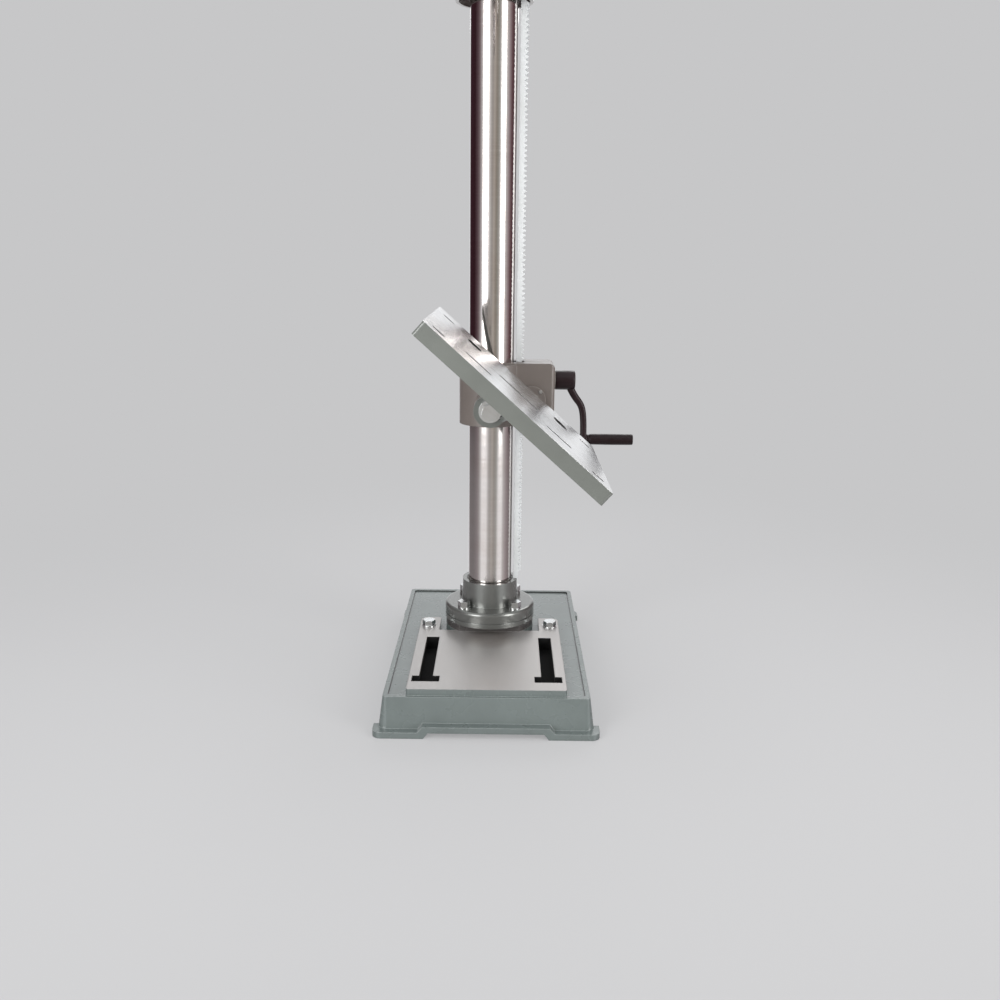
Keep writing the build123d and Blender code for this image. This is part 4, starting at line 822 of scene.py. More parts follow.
@dataclass
class Studio:
    """A plain pale floor, soft lamps and the camera of the photograph."""

    eye: Place = (0.0273, -2.0009, 0.8669)
    pitch: float = math.radians(13.9)
    yaw: float = math.radians(-0.2)
    roll: float = math.radians(0.6)
    focus_pixels: float = 1000.0
    picture_pixels: float = 1000.0
    sensor_mm: float = 36.0
    aim: Place = (0.0, 0.0, 0.75)
    pale: Colour = (0.571, 0.571, 0.578)
    ceiling: Colour = (0.30, 0.30, 0.31)
    fill: Colour = (0.50, 0.50, 0.51)
    floor_grey: Colour = (0.55, 0.55, 0.557)
    floor_half: float = 40.0
    floor_z: float = -0.0005
    ceiling_rise: tuple[float, float] = (0.25, 0.75)
    shadow_reach: tuple[float, float] = (0.6, 2.2)
    shadow_share: float = 0.45
    thin_reach: tuple[float, float] = (1.0, 6.0)
    thin_share: float = 0.60
    lamps: tuple[Lamp, ...] = (
        Lamp("left_box", (-1.76, -2.30, 1.25), (1.25, 2.4), 60.0),
        Lamp("right_box", (2.20, -1.70, 1.15), (1.0, 2.3), 46.0, (1.0, 0.99, 0.98)),
        Lamp("top_box", (0.0, -0.6, 3.3), (5.4, 4.4), 60.0),
        Lamp("back_box", (0.6, 2.6, 2.4), (2.4, 1.2), 30.0))
    room: tuple[tuple[float, Colour], ...] = (
        (-180.0, (1.06, 1.07, 1.09)), (-160.0, (0.95, 0.96, 0.98)), (-148.0, (0.05, 0.02, 0.03)),
        (-100.0, (0.04, 0.015, 0.02)), (-80.0, (0.13, 0.085, 0.10)), (-68.0, (0.28, 0.23, 0.24)),
        (-57.0, (0.70, 0.70, 0.71)), (-48.0, (1.40, 1.41, 1.43)), (-23.0, (1.40, 1.41, 1.43)),
        (-13.0, (0.66, 0.65, 0.64)), (-3.0, (0.43, 0.41, 0.39)), (6.0, (0.58, 0.54, 0.49)),
        (17.0, (0.34, 0.31, 0.27)), (30.0, (0.42, 0.43, 0.40)), (39.0, (1.20, 1.21, 1.22)),
        (46.0, (1.45, 1.46, 1.48)), (60.0, (1.40, 1.41, 1.43)), (70.0, (0.70, 0.68, 0.68)),
        (83.0, (0.44, 0.36, 0.38)), (98.0, (0.18, 0.11, 0.12)), (114.0, (0.10, 0.05, 0.06)),
        (148.0, (0.05, 0.02, 0.03)), (160.0, (0.95, 0.96, 0.98)), (180.0, (1.06, 1.07, 1.09)))

    def camera(self) -> None:
        """Set the camera: forward, right and up from yaw, pitch and roll."""
        ahead = np.array([math.sin(self.yaw) * math.cos(self.pitch),
                          math.cos(self.yaw) * math.cos(self.pitch), -math.sin(self.pitch)])
        right = np.array([math.cos(self.yaw), -math.sin(self.yaw), 0.0])
        up = np.cross(right, ahead)
        turned_right = math.cos(self.roll) * right + math.sin(self.roll) * up
        turned_up = -math.sin(self.roll) * right + math.cos(self.roll) * up
        data = bpy.data.cameras.new("photo_camera")
        data.sensor_width = self.sensor_mm
        data.lens = self.sensor_mm * self.focus_pixels / self.picture_pixels
        data.clip_start, data.clip_end = 0.05, 200.0
        made = bpy.data.objects.new("photo_camera", data)
        pose = np.eye(4)
        pose[:3] = np.column_stack([turned_right, turned_up, -ahead, self.eye])
        made.matrix_world = Matrix(pose.tolist())
        bpy.context.scene.collection.objects.link(made)
        bpy.context.scene.camera = made

    def world(self) -> None:
        """The room that metal reflects: bright and dim bands round the press, from the room's table.

        The band is found from the direction's angle about Z, with 0 behind the press, and gives way to
        the ceiling higher up. The camera and clear pieces see the plain pale backdrop, and matt
        surfaces a plain fill.
        """
        world = bpy.data.worlds.new("studio")
        world.use_nodes = True
        graph = Graph("studio", world.node_tree)
        split = graph.node("ShaderNodeSeparateXYZ")
        graph.feed(split.inputs[0], graph.node("ShaderNodeTexCoord").outputs["Generated"])
        turn = graph.calc("ARCTAN2", split.outputs[0], graph.calc("MULTIPLY", split.outputs[1], -1.0))
        ramp = graph.node("ShaderNodeValToRGB")
        elements = ramp.color_ramp.elements
        elements.remove(elements[-1])
        shares = [(angle / 360.0 + 0.5, (*colour, 1.0)) for angle, colour in self.room]
        elements[0].position, elements[0].color = shares[0]
        for share, colour in shares[1:]:
            elements.new(share).color = colour
        graph.feed(ramp.inputs[0], graph.calc("ADD", graph.calc("DIVIDE", turn, TAU), 0.5))
        high = graph.spread(split.outputs[2], *self.ceiling_rise)
        room = graph.blend(high, ramp.outputs[0], self.ceiling)
        path = graph.node("ShaderNodeLightPath")
        ambient = graph.blend(path.outputs["Is Glossy Ray"], self.fill, room)
        seen = graph.calc("MAXIMUM", path.outputs["Is Camera Ray"], path.outputs["Is Transmission Ray"])
        back = graph.node("ShaderNodeBackground")
        graph.feed(back.inputs["Color"], graph.blend(seen, ambient, self.pale))
        out = graph.node("ShaderNodeOutputWorld")
        graph.feed(out.inputs["Surface"], back.outputs[0])
        bpy.context.scene.world = world

    def floor_finish(self) -> bpy.types.Material:
        """A matt grey that glows to the backdrop's colour far out and thins out in reflections."""
        graph = Graph("pale_floor")
        far = graph.node("ShaderNodeVectorMath", operation="LENGTH")
        graph.feed(far.inputs[0], graph.place())
        glow = graph.node("ShaderNodeEmission")
        graph.feed(glow.inputs["Color"], self.pale)
        matt = graph.node("ShaderNodeBsdfDiffuse")
        graph.feed(matt.inputs["Color"], self.floor_grey)
        clear = graph.node("ShaderNodeBsdfTransparent")
        path = graph.node("ShaderNodeLightPath")
        reflected = graph.calc("MAXIMUM", path.outputs["Is Glossy Ray"], path.outputs["Is Transmission Ray"])
        seen = graph.calc("MAXIMUM", path.outputs["Is Camera Ray"], reflected)
        near = graph.spread(far.outputs["Value"], *self.shadow_reach, self.shadow_share, 0.0)
        faded = graph.shaded(near, glow.outputs[0], matt.outputs[0])
        plain = graph.shaded(seen, matt.outputs[0], faded)
        fading = graph.spread(far.outputs["Value"], *self.thin_reach, self.thin_share, 1.0)
        thin = graph.calc("MULTIPLY", path.outputs["Is Glossy Ray"], fading)
        out = graph.node("ShaderNodeOutputMaterial")
        graph.feed(out.inputs["Surface"], graph.shaded(thin, plain, clear.outputs[0]))
        return graph.material

    def floor(self) -> None:
        """A pale floor that keeps a soft shadow near the press and fades into the room."""
        data = bpy.data.meshes.new("studio_floor")
        half = self.floor_half
        corners = [(x * half, y * half, self.floor_z) for x, y in ((-1, -1), (1, -1), (1, 1), (-1, 1))]
        data.from_pydata(corners, [], [(0, 1, 2, 3)])
        made = bpy.data.objects.new("studio_floor", data)
        bpy.context.scene.collection.objects.link(made)
        made.data.materials.append(self.floor_finish())

    def set_up(self) -> None:
        """Build the whole studio."""
        self.camera()
        self.world()
        self.floor()
        for lamp in self.lamps:
            lamp.hang(self.aim)
        bpy.context.scene.view_settings.view_transform = "Standard"


# Surfaces worked out as arrays

MERGED = 1e-6
SLIVER = 1e-7


@dataclass(frozen=True)
class Corner:
    """A corner of a turned profile: where it is along the axis, how far out, and how it is rounded."""

    along: float
    out: float
    round: float = 0.0


def profile(corners: Sequence[Corner], steps: int = 6) -> np.ndarray:
    """The points of a profile with rounded corners.

    Each rounded corner becomes a curve that starts and ends the same distance from it, on its two
    sides, and is the blend (1 - t)^2 A + 2 t (1 - t) C + t^2 B of the two ends A and B and the corner C.

    Args:
        corners: the corners in order.
        steps: how many parts a rounded corner has.

    Returns:
        An array of (along, out) rows.
    """
    spots = np.array([(c.along, c.out) for c in corners])
    t = np.linspace(0.0, 1.0, steps + 1)[:, None]
    rows = [spots[:1]]
    for k in range(1, len(corners) - 1):
        if corners[k].round <= 0.0:
            rows.append(spots[k:k + 1])
            continue
        before, after = spots[k - 1] - spots[k], spots[k + 1] - spots[k]
        reach = corners[k].round
        start = spots[k] + before / np.linalg.norm(before) * min(reach, np.linalg.norm(before) / 2)
        end = spots[k] + after / np.linalg.norm(after) * min(reach, np.linalg.norm(after) / 2)
        rows.append((1 - t) ** 2 * start + 2 * t * (1 - t) * spots[k] + t ** 2 * end)
    rows.append(spots[-1:])
    return np.concatenate(rows)


def across(direction: np.ndarray) -> tuple[np.ndarray, np.ndarray]:
    """Two directions at right angles to a direction and to each other.

    Args:
        direction: the direction, of length 1.

    Returns:
        The two directions, each of length 1.
    """
    helper = np.array(ALONG_Z if abs(direction[2]) < 0.9 else ALONG_X)
    first = np.cross(helper, direction)
    first /= np.linalg.norm(first)
    return first, np.cross(direction, first)


def skin(name: str, grids: Sequence[np.ndarray], crease: float = 32.0) -> bpy.types.Object:
    """One object from several grids of points, each closed round its columns.

    Vertex (i, j) of a grid stands at grid[i, j]; a face joins (i, j), (i, j + 1), (i + 1, j + 1) and
    (i + 1, j), with the columns counted round. Points that fall together, as at a pole, are merged.

    Args:
        name: the object's name.
        grids: arrays of shape (rows, columns, 3).
        crease: the angle in degrees past which an edge stays sharp.

    Returns:
        The object, in the scene's collection.
    """
    points, faces, start = [], [], 0
    for grid in grids:
        rows, columns = grid.shape[:2]
        here = start + np.arange(rows * columns).reshape(rows, columns)
        there = np.roll(here, -1, axis=1)
        points.append(grid.reshape(-1, 3))
        faces.append(np.stack([here[:-1], there[:-1], there[1:], here[1:]], axis=-1).reshape(-1, 4))
        start += rows * columns
    data = bpy.data.meshes.new(name)
    data.from_pydata(np.concatenate(points), [], np.concatenate(faces))
    work = bmesh.new()
    work.from_mesh(data)
    bmesh.ops.remove_doubles(work, verts=work.verts, dist=MERGED)
    bmesh.ops.dissolve_degenerate(work, edges=work.edges, dist=SLIVER)
    bmesh.ops.recalc_face_normals(work, faces=work.faces)
    work.to_mesh(data)
    work.free()
    data.polygons.foreach_set("use_smooth", np.ones(len(data.polygons), dtype=bool))
    data.set_sharp_from_angle(angle=math.radians(crease))
    made = bpy.data.objects.new(name, data)
    bpy.context.scene.collection.objects.link(made)
    return made


def turned(corners: Sequence[Corner], origin: Sequence[float], direction: Sequence[float],
           columns: int = 64, wave: Wave | None = None) -> np.ndarray:
    """The grid of a turned shape.

    A point stands at origin + along * direction + out * (cos(a) * first + sin(a) * second), with the
    angle a from 0 to a full turn; wave changes out by place.

    Args:
        corners: the profile, from one end of the axis to the other.
        origin: where along is zero.
        direction: the axis.
        columns: how many points go round.
        wave: from the arrays (along, angle), how far the surface is pushed in.

    Returns:
        The grid of points.
    """
    line = profile(corners)
    axis = np.array(direction, dtype=float)
    axis /= np.linalg.norm(axis)
    first, second = across(axis)
    angle = np.arange(columns) * TAU / columns
    out = np.repeat(line[:, 1:2], columns, axis=1)
    if wave is not None:
        along, turn = np.meshgrid(line[:, 0], angle, indexing="ij")
        out = np.maximum(out - wave(along, turn), 0.0)
    ring = np.cos(angle)[:, None] * first + np.sin(angle)[:, None] * second
    return np.array(origin) + line[:, 0][:, None, None] * axis + out[:, :, None] * ring[None, :, :]


def swept(path: np.ndarray, side: np.ndarray, wide: np.ndarray, thick: np.ndarray, power: float = 3.2,
          columns: int = 40) -> np.ndarray:
    """The grid of a bar with a rounded section carried along a path that lies in one plane.

    The section's point at the angle a is wide * |cos a|^(2/p) to the side and thick * |sin a|^(2/p)
    across, with their signs, half of each; the ends close on the path's end points.

    Args:
        path: the points of the path, one row each.
        side: the direction at right angles to the path's plane.
        wide: the width along side at each point.
        thick: the thickness across at each point.
        power: 2 is an ellipse, and more is squarer.
        columns: how many points go round.

    Returns:
        The grid of points.
    """
    ahead = np.gradient(path, axis=0)
    ahead /= np.linalg.norm(ahead, axis=1)[:, None]
    over = np.cross(ahead, side)
    angle = np.arange(columns) * TAU / columns
    c, s = np.cos(angle), np.sin(angle)
    round_c = np.sign(c) * np.abs(c) ** (2.0 / power)
    round_s = np.sign(s) * np.abs(s) ** (2.0 / power)
    grid = (path[:, None, :] + 0.5 * wide[:, None, None] * round_c[None, :, None] * side
            + 0.5 * thick[:, None, None] * round_s[None, :, None] * over[:, None, :])
    ends = np.repeat(path[[0, -1]][:, None, :], columns, axis=1)
    return np.concatenate([ends[:1], grid, ends[1:]])


def smooth_step(value: np.ndarray, low: float, high: float) -> np.ndarray:
    """0 below low, 1 above high, and 3 t^2 - 2 t^3 of the share t between them.

    Args:
        value: the numbers.
        low: where the step starts.
        high: where it ends.

    Returns:
        The steps, one for each number.
    """
    t = np.clip((value - low) / (high - low), 0.0, 1.0)
    return t * t * (3.0 - 2.0 * t)


def between(along: np.ndarray, low: float, high: float, fade: float) -> np.ndarray:
    """1 between two places, 0 outside them, and a smooth step as wide as fade inside each end.

    Args:
        along: the places that are asked about.
        low: the first end.
        high: the second end.
        fade: how wide each step is.

    Returns:
        The shares, one for each place.
    """
    return smooth_step(along, low, low + fade) * (1.0 - smooth_step(along, high - fade, high))


def disc(half: float, radius: float, soft: float) -> list[Corner]:
    """The profile of a plain disc about its middle, with rounded edges.

    Args:
        half: half its thickness.
        radius: its radius.
        soft: how far its edges are rounded.

    Returns:
        The corners of the profile.
    """
    return [Corner(-half, 0.0), Corner(-half, radius, soft), Corner(half, radius, soft), Corner(half, 0.0)]


def ball(middle: float, radius: float, start: float, steps: int) -> list[Corner]:
    """The profile of a ball: points at middle + r sin a along and r cos a out, from a = start to a pole.

    Args:
        middle: where its middle is along the axis.
        radius: its radius r.
        start: the first angle a.
        steps: how many points there are.

    Returns:
        The corners of the profile.
    """
    lift = np.linspace(start, math.pi / 2.0, steps)
    return [Corner(middle + radius * math.sin(a), max(radius * math.cos(a), 0.0)) for a in lift]


# Pieces


@dataclass
class Workshop:
    """What every piece needs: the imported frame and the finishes."""

    frame: dict[str, Any]
    palette: Palette

    def box(self, node: str) -> tuple[np.ndarray, np.ndarray]:
        """The lowest and the highest corner of a node."""
        low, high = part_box(node)
        return np.array(low), np.array(high)

    def middle(self, node: str) -> np.ndarray:
        """The middle of a node's box."""
        low, high = self.box(node)
        return (low + high) / 2.0

    def foot(self, node: str) -> np.ndarray:
        """The middle of the underside of a node's box."""
        return np.array([*self.middle(node)[:2], self.box(node)[0][2]])

    def fit(self, piece: bpy.types.Object, body: str, slot: Slot, *nodes: str) -> None:
        """Dress a piece, let it ride on its body and stand for its nodes.

        Args:
            piece: the new piece.
            body: the body that carries it.
            slot: the record's slot of its finish.
            nodes: the nodes that it stands for.
        """
        piece.data.materials.clear()
        piece.data.materials.append(self.palette.made[slot])
        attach(piece, body)
        if nodes:
            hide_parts(*nodes)
        LOG.info("%s rides on %s", piece.name, body)


@dataclass
class Crank:
    """The crank: round hub with a dished end, tapered and curved arm, boss and turning grip."""

    shop: Workshop
    hub_radius: float = 0.020
    hub_round: float = 0.005
    hub_seat_round: float = 0.0015
    dish_radius: float = 0.009
    dish_depth: float = 0.0015
    dish_slope: float = 0.001
    boss_radius: float = 0.012
    boss_half: float = 0.0075
    boss_round: float = 0.002
    arm_wide: tuple[float, float] = (0.021, 0.0165)
    arm_thick: tuple[float, float] = (0.0165, 0.0135)
    arm_root: float = 0.0145
    arm_drop: float = 0.0045
    arm_lean: float = math.radians(21.5)
    arm_leave: float = 0.066
    arm_rise: float = 0.100
    arm_steps: int = 41
    neck_share: float = 0.86
    neck_length: float = 0.005
    neck_slope: float = 0.0015
    grip_barrel: float = 0.0004
    grip_crown: float = 0.02
    grip_end_round: float = 0.0035
    socket_radius: float = 0.0085
    socket_depth: float = 0.002

    def arm(self) -> bpy.types.Object:
        """Hub, arm and boss as one casting.

        The arm's path is the curve (1-t)^3 A + 3 t (1-t)^2 B + 3 t^2 (1-t) C + t^3 D from the hub A to
        the boss D, leaving the hub at a lean towards B and coming straight down on the boss from C. Its
        width and thickness shrink with the square root of t.
        """
        low, high = self.shop.box("crank_arm")
        worm, grip = self.shop.middle("worm_shaft"), self.shop.middle("crank_grip")
        hub_end = self.shop.box("worm_shaft")[1][0]
        inner, outer = low[0] - worm[0], hub_end - worm[0]
        dish = outer - self.dish_depth
        hub = turned([Corner(inner, 0.0), Corner(inner, self.hub_radius, self.hub_seat_round),
                      Corner(outer, self.hub_radius, self.hub_round),
                      Corner(outer, self.dish_radius, self.dish_slope),
                      Corner(dish, self.dish_radius - self.dish_slope, self.dish_slope / 2.0),
                      Corner(dish, 0.0)], worm, ALONG_X, 72)
        start = np.array([hub_end - self.arm_root, worm[1], worm[2] - self.arm_drop])
        end = np.array([high[0] - self.boss_half, worm[1], grip[2]])
        lean = np.array([math.sin(self.arm_lean), 0.0, -math.cos(self.arm_lean)])
        bend_b = start + self.arm_leave * lean
        bend_c = end + self.arm_rise * np.array(ALONG_Z)
        t = np.linspace(0.0, 1.0, self.arm_steps)[:, None]
        path = ((1 - t) ** 3 * start + 3 * t * (1 - t) ** 2 * bend_b
                + 3 * t ** 2 * (1 - t) * bend_c + t ** 3 * end)
        share = np.sqrt(t[:, 0])
        wide = self.arm_wide[0] + (self.arm_wide[1] - self.arm_wide[0]) * share
        thick = self.arm_thick[0] + (self.arm_thick[1] - self.arm_thick[0]) * share
        arm = swept(path, np.array(ALONG_Y), wide, thick)
        boss = turned(disc(self.boss_half, self.boss_radius, self.boss_round), end, ALONG_X, 56)
        return skin("crank_casting", [hub, arm, boss])

    def grip(self) -> bpy.types.Object:
        """The turned grip, a little fuller in the middle, with a step at its inner end."""
        low, high = self.shop.box("crank_grip")
        half, _, radius = (high - low) / 2.0
        neck, full = radius * self.neck_share, radius - self.grip_barrel
        step = -half + self.neck_length
        corners = [Corner(-half, 0.0), Corner(-half, neck, 0.0012), Corner(step, neck, 0.0008),
                   Corner(step + self.neck_slope, full, 0.001), Corner(0.0, radius, self.grip_crown),
                   Corner(half, full, self.grip_end_round), Corner(half, self.socket_radius, 0.001),
                   Corner(half - self.socket_depth, self.socket_radius - 0.0005),
                   Corner(half - self.socket_depth, 0.0)]
        return skin("crank_handgrip", [turned(corners, self.shop.middle("crank_grip"), ALONG_X, 64)])

    def build(self) -> None:
        """Make both pieces and let them ride."""
        self.shop.fit(self.arm(), "crank", Slot.BLACK_PAINT, "crank_arm")
        self.shop.fit(self.grip(), "grip", Slot.BLACK_PLASTIC, "crank_grip")


@dataclass
class ClampHandle:
    """A clamp's hub along X, with its screw where it has one, and a tapered lever with a ball.

    The lever's lean is its angle in degrees about X, from +Y towards +Z.
    """

    shop: Workshop
    node: str
    body: str
    lean: float
    hub_radius: float = 0.011
    hub_length: float = 0.018
    length: float = 0.055
    root: float = 0.0052
    tip: float = 0.004
    ball_radius: float = 0.009
    screw: float = 0.0
    foot_share: float = 0.6
    foot_height: float = 0.002
    face_share: float = 0.8
    face_height: float = 0.001
    root_height: float = 0.004
    root_round: float = 0.01
    waist_share: float = 0.9

    def hub(self, reach: float) -> list[Corner]:
        """The hub's profile, and the screw's up to its reach.

        Args:
            reach: how far the screw's end is from the hub's foot.

        Returns:
            The corners of the profile.
        """
        radius, far = self.hub_radius, self.hub_length
        corners = [Corner(0.0, 0.0), Corner(0.0, radius * self.foot_share, 0.001),
                   Corner(self.foot_height, radius, self.foot_height),
                   Corner(far - self.face_height, radius, self.face_height),
                   Corner(far, radius * self.face_share, 0.0005)]
        if self.screw:
            return corners + [Corner(far, self.screw), Corner(reach, self.screw, 0.0005), Corner(reach, 0.0)]
        return corners + [Corner(far, 0.0)]

    def build(self) -> None:
        """Turn the hub about X and the lever about its own line, and join them in one piece."""
        low, high = self.shop.box(self.node)
        angle = math.radians(self.lean)
        lean = np.array([0.0, math.cos(angle), math.sin(angle)])
        y, z = np.where(lean < 0.0, high - self.hub_radius, low + self.hub_radius)[1:]
        left = low[0] if self.screw else (low[0] + high[0] - self.hub_length) / 2.0
        hub = turned(self.hub(high[0] - low[0]), (left, y, z), ALONG_X, 48)
        centre = np.array([left + self.hub_length / 2.0, y, z])
        waist = self.length - self.ball_radius * self.waist_share
        root = self.hub_radius + self.root_height
        lever = turned([Corner(0.0, 0.0), Corner(0.0, self.root), Corner(root, self.root, self.root_round),
                        Corner(waist, self.tip), Corner(waist, 0.0)], centre, lean, 32)
        knob = turned(ball(self.length, self.ball_radius, -math.pi / 2.0, 25), centre, lean, 40)
        piece = skin(f"{self.node}_handle", [hub, lever, knob])
        self.shop.fit(piece, self.body, Slot.BLACK_PAINT, self.node)


@dataclass
class FeedKnobs:
    """The balls of the three feed arms, each with a flat seat."""

    shop: Workshop
    radius: float = 0.014
    arms: int = 3
    lean: float = math.radians(12.0)
    seat: float = 0.44 * math.pi
    reach: float = 0.134
    hub_depth: float = 0.015
    arm_foot: float = 0.009
    arm_radius: float = 0.006
    play: float = 0.0003

    def build(self) -> None:
        """Turn one ball at the end of each arm; the arms lean away from the head."""
        shaft = self.shop.middle("feed_shaft")
        base = np.array([self.shop.box("feed_shaft")[1][0] - self.hub_depth, shaft[1], shaft[2]])
        far = self.reach + self.arm_foot + self.arm_radius * math.sin(self.lean) + self.play
        corners = [Corner(-self.radius * math.sin(self.seat), 0.0), *ball(0.0, self.radius, -self.seat, 28)]
        grids = []
        for turn in np.arange(self.arms) * TAU / self.arms:
            lean = np.array([math.sin(self.lean), -math.sin(turn) * math.cos(self.lean),
                             math.cos(turn) * math.cos(self.lean)])
            grids.append(turned(corners, base + lean * far, lean, 40))
        self.shop.fit(skin("feed_balls", grids), "feed", Slot.BLACK_PLASTIC, "feed_knobs")


@dataclass
class Motor:
    """The motor: two end bells, a finned shell, its shaft, its pad and the vented fan cover."""

    shop: Workshop
    fins: int = 40
    fin_depth: float = 0.004
    fin_fade: float = 0.004
    bell: float = 0.030
    bell_round: float = 0.006
    bell_lip: float = 0.001
    shell_step: float = 0.0012
    shaft_radius: float = 0.008
    collar_height: float = 0.003
    guard_gap: float = 0.008
    pad_wide: float = 0.028
    pad_rise: float = 0.006
    pad_power: float = 12.0
    vents: int = 18
    vent_depth: float = 0.004
    vent_fade: float = 0.002
    vent_rims: tuple[float, float] = (0.006, 0.003)
    rings: tuple[tuple[float, float], ...] = (
        (0.0, 0.18), (0.0012, 0.2), (0.0012, 0.3), (0.0, 0.32),
        (0.0, 0.5), (0.0012, 0.52), (0.0012, 0.6), (0.0, 0.62))
    cover_round: float = 0.005

    def casing(self, radius: float, tall: float, shaft_top: float) -> list[Corner]:
        """The profile of the body: bell, sunk shell, bell, collar and shaft.

        Args:
            radius: the bells' radius.
            tall: how tall the body is without its shaft.
            shaft_top: how far up the shaft ends.

        Returns:
            The corners of the profile.
        """
        low, high, sunk = self.bell, tall - self.bell, radius - self.shell_step
        clear = self.fin_fade + 0.002
        collar = tall + self.collar_height
        shell = [Corner(a, sunk) for a in np.linspace(low + clear, high - clear, 5)]
        return [Corner(0.0, 0.0), Corner(0.0, radius, self.bell_round),
                Corner(low - self.bell_lip, radius, 0.0005), Corner(low, sunk),
                Corner(low + self.fin_fade, sunk), *shell, Corner(high - self.fin_fade, sunk),
                Corner(high, sunk), Corner(high + self.bell_lip, radius, 0.0005),
                Corner(tall, radius, self.bell_round), Corner(tall, self.shaft_radius * 2.2, 0.001),
                Corner(collar, self.shaft_radius * 2.0, 0.001), Corner(collar, self.shaft_radius),
                Corner(shaft_top, self.shaft_radius, 0.001), Corner(shaft_top, 0.0)]

    def pad(self, centre: np.ndarray, bottom: float) -> np.ndarray:
        """The bar that runs from the motor's middle to its mounting plate.

        Args:
            centre: a point on the motor's axis.
            bottom: how high the motor's underside is.

        Returns:
            The grid of points.
        """
        plate = self.shop.box("motor_plate")[1]
        span = np.linspace(0.0, 1.0, 5)
        path = np.zeros((len(span), 3))
        path[:, 0] = centre[0]
        path[:, 1] = centre[1] + (plate[1] - centre[1]) * span
        path[:, 2] = (bottom + self.pad_rise + plate[2]) / 2.0
        tall = plate[2] - bottom - self.pad_rise
        return swept(path, np.array(ALONG_X), np.full(5, self.pad_wide), np.full(5, tall), self.pad_power)

    def shell(self) -> bpy.types.Object:
        """The turned body, whose radius drops by the fin depth between fins, and its pad."""
        low, high = self.shop.box("motor")
        foot = np.array([*self.shop.middle("motor_fan_cover")[:2], low[2]])
        tall = self.shop.box("guard_pan")[0][2] - self.guard_gap - low[2]

        def wave(along: np.ndarray, turn: np.ndarray) -> np.ndarray:
            """Fin gaps: a smooth square wave round the shell, faded out at the bells."""
            gap = smooth_step(np.cos(turn * self.fins), -0.2, 0.2)
            return self.fin_depth * gap * between(along, self.bell, tall - self.bell, self.fin_fade)

        casing = self.casing((high[0] - low[0]) / 2.0, tall, high[2] - low[2])
        body = turned(casing, foot, ALONG_Z, self.fins * 8, wave)
        return skin("motor_shell", [body, self.pad(foot, low[2])])

    def fan_cover(self) -> bpy.types.Object:
        """The cover under the motor, whose wall has vent hollows and whose floor has two rings."""
        low, high = self.shop.box("motor_fan_cover")
        radius, tall = (high[0] - low[0]) / 2.0, high[2] - low[2]
        rim, top_rim = self.vent_rims[0], tall - self.vent_rims[1]

        def wave(along: np.ndarray, turn: np.ndarray) -> np.ndarray:
            """Hollows round the wall, between its two rims."""
            gap = smooth_step(np.cos(turn * self.vents), 0.0, 0.35)
            return self.vent_depth * gap * between(along, rim, top_rim, self.vent_fade)

        corners = [Corner(0.0, 0.0), *(Corner(height, radius * share) for height, share in self.rings),
                   Corner(0.0, radius, self.cover_round), Corner(rim, radius)]
        corners += [Corner(a, radius) for a in np.linspace(rim + 0.0015, tall - 0.004, 5)]
        corners += [Corner(tall - 0.002, radius), Corner(tall, radius), Corner(tall, 0.0)]
        foot = self.shop.foot("motor_fan_cover")
        return skin("fan_cover", [turned(corners, foot, ALONG_Z, self.vents * 12, wave)])

    def build(self) -> None:
        """Make both pieces and let them ride."""
        self.shop.fit(self.shell(), "head", Slot.BLACK_PAINT, "motor")
        self.shop.fit(self.fan_cover(), "head", Slot.BLACK_PLASTIC, "motor_fan_cover")


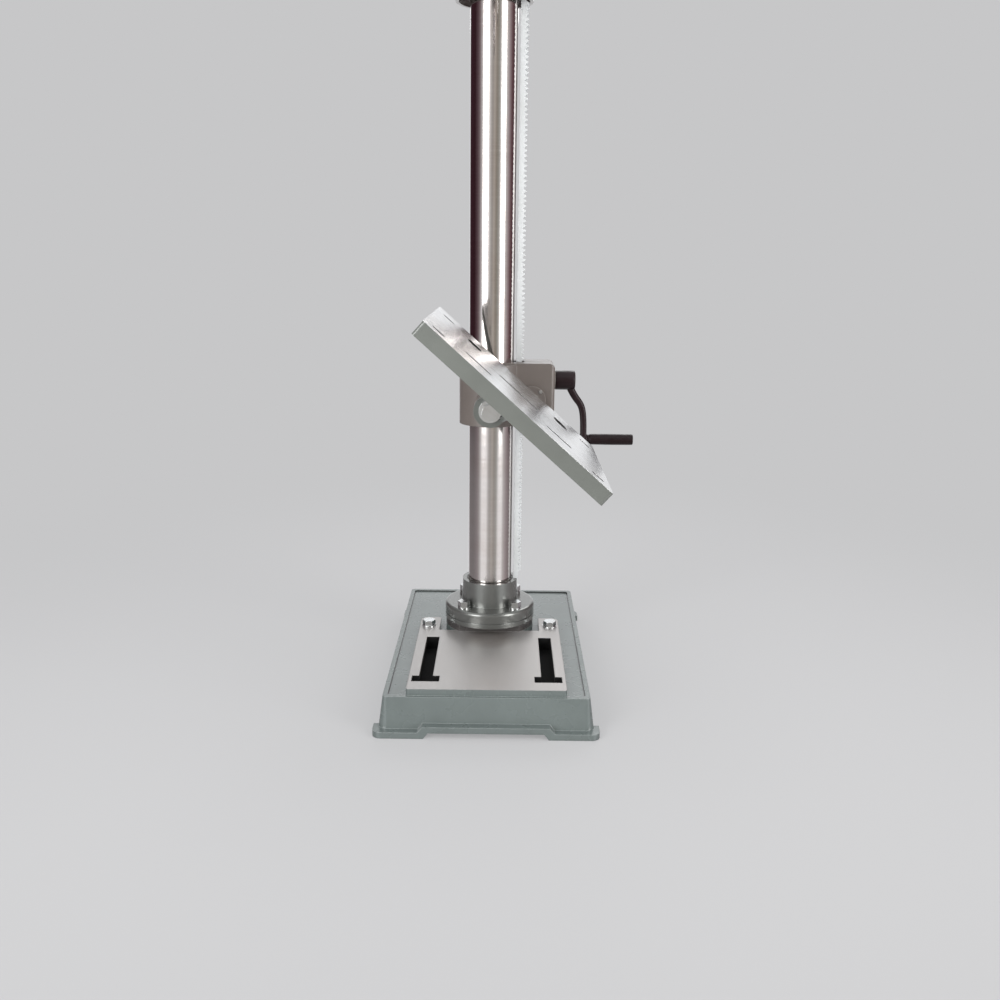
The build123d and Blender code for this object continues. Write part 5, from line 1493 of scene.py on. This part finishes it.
@dataclass
class Guard:
    """The belt guard's cover: a pressed shell with a rounded shoulder and a rolled lower edge."""

    shop: Workshop
    corner: float = 0.060
    least_corner: float = 0.004
    shoulder: float = 0.014
    wall: float = 0.0025
    roll: float = 0.0015
    roll_height: float = 0.006
    plain_height: float = 0.03
    crown_inset: tuple[float, ...] = (0.028, 0.032, 0.036, 0.055, 0.075, 0.085, 0.0899)
    crown_drop: tuple[float, ...] = (0.0015, 0.001, 0.0, 0.0, 0.0, 0.0, 0.0)

    def outline(self, inset: np.ndarray, columns: int = 160) -> np.ndarray:
        """Points of a rounded rectangle shrunk by an inset.

        The point at the angle a stands at the straight part's corner plus the corner radius times
        (cos a, sin a), and the corner radius shrinks with the inset.

        Args:
            inset: how far each row of points lies inside the cover's outline.
            columns: how many points go round.

        Returns:
            An array of shape (rows, columns, 2).
        """
        low, high = self.shop.box("guard_cover")
        centre, half = (low + high) / 2.0, (high - low) / 2.0
        angle = (np.arange(columns) + 0.5) * TAU / columns
        radius = np.maximum(self.corner - inset, self.least_corner)[:, None]
        sides = []
        for axis, wave in ((0, np.cos(angle)), (1, np.sin(angle))):
            reach = (half[axis] - inset)[:, None] - radius
            sides.append(centre[axis] + np.sign(wave) * reach + radius * wave)
        return np.stack(sides, axis=-1)

    def build(self) -> None:
        """Carry the outline up the wall, over the shoulder and in to the middle of the top."""
        bottom, top = (corner[2] for corner in self.shop.box("guard_cover"))
        turn = np.linspace(0.0, math.pi / 2.0, 9)
        inset = np.concatenate([[0.0, 0.0, self.roll, self.roll],
                                self.roll + self.shoulder * (1 - np.cos(turn)), self.crown_inset])
        foot = np.array([0.0, self.roll_height, self.roll_height + self.roll, self.plain_height])
        bend = top - self.shoulder + self.shoulder * np.sin(turn) - self.roll
        height = np.concatenate([bottom + foot, bend, top - np.array(self.crown_drop)])
        flat = self.outline(inset)
        grid = np.concatenate([flat, np.repeat(height[:, None, None], flat.shape[1], axis=1)], axis=-1)
        ridge = grid[-1:].copy()
        ridge[..., 0] = ridge[..., 0].mean()
        piece = skin("guard_shell", [np.concatenate([grid, ridge])], 40.0)
        wall = piece.modifiers.new("wall", "SOLIDIFY")
        wall.thickness, wall.offset = self.wall, -1.0
        self.shop.fit(piece, "guard", Slot.BASE_PAINT, "guard_cover")


@dataclass
class Chuck:
    """The chuck's sleeve with its ring of grip flutes."""

    shop: Workshop
    flutes: int = 30
    depth: float = 0.0009
    rim: float = 0.006
    fade: float = 0.0025
    soft: float = 0.001
    play: float = 0.0001

    def build(self) -> None:
        """Turn the sleeve and press the flutes in between its two plain rims."""
        low, high = self.shop.box("chuck_sleeve")
        body_low, body_high = self.shop.box("chuck_body")
        bore = (body_high[0] - body_low[0]) / 2.0 + self.play
        radius, tall = (high[0] - low[0]) / 2.0, high[2] - low[2]

        def wave(along: np.ndarray, turn: np.ndarray) -> np.ndarray:
            """Round flutes between the rims, on the outside only."""
            flute = np.abs(np.cos(turn * self.flutes / 2.0)) ** 3
            return self.depth * flute * between(along, self.rim, tall - self.rim, self.fade)

        outer = [Corner(0.0, bore), Corner(0.0, radius - self.soft), Corner(self.soft, radius)]
        outer += [Corner(a, radius) for a in np.linspace(0.005, tall - 0.005, 14)]
        outer += [Corner(tall - self.soft, radius), Corner(tall, radius - self.soft), Corner(tall, bore)]
        foot, columns = self.shop.foot("chuck_sleeve"), self.flutes * 8
        wall = turned(outer, foot, ALONG_Z, columns, wave)
        hole = turned([Corner(0.0, bore), Corner(tall, bore)], foot, ALONG_Z, columns)
        self.shop.fit(skin("chuck_grip", [wall, hole]), "chuck_sleeve", Slot.BRIGHT_STEEL, "chuck_sleeve")


@dataclass
class Press:
    """The dressed press: finishes for every node of the model, and its detail pieces."""

    shop: Workshop

    def dress(self) -> None:
        """Give each node of the model the finish of its slot, or its own."""
        frame, palette = self.shop.frame, self.shop.palette
        for entry in frame["record"]["subparts"]:
            node = frame["nodes"][entry["node"]]
            slot = Slot(entry["material_slot"])
            finish = palette.special.get(entry["node"], palette.made[slot])
            node.data.materials.clear()
            node.data.materials.append(finish)
            faces = node.data.polygons
            faces.foreach_set("material_index", np.zeros(len(faces), dtype=np.int32))
            LOG.info("%s takes %s", entry["node"], finish.name)

    def build(self) -> None:
        """Make every detail piece."""
        shop = self.shop
        Crank(shop).build()
        ClampHandle(shop, "bracket_lock_lever", "lock_lever", lean=-35.0, hub_radius=0.013, hub_length=0.020,
                    length=0.095, root=0.0062, tip=0.0045, ball_radius=0.012).build()
        ClampHandle(shop, "turret_lock", "turret_lock", lean=-120.0, screw=0.006).build()
        ClampHandle(shop, "ram_lock", "ram_lock", lean=130.0, screw=0.006).build()
        for kind in (FeedKnobs, Motor, Guard, Chuck):
            kind(shop).build()


def main() -> None:
    """Load the model, dress it, add the detail pieces and the studio."""
    logging.basicConfig(level=logging.INFO)
    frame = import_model()
    palette = Palette()
    palette.mix()
    press = Press(Workshop(frame, palette))
    press.dress()
    press.build()
    Studio().set_up()


if __name__ == "__main__":
    main()
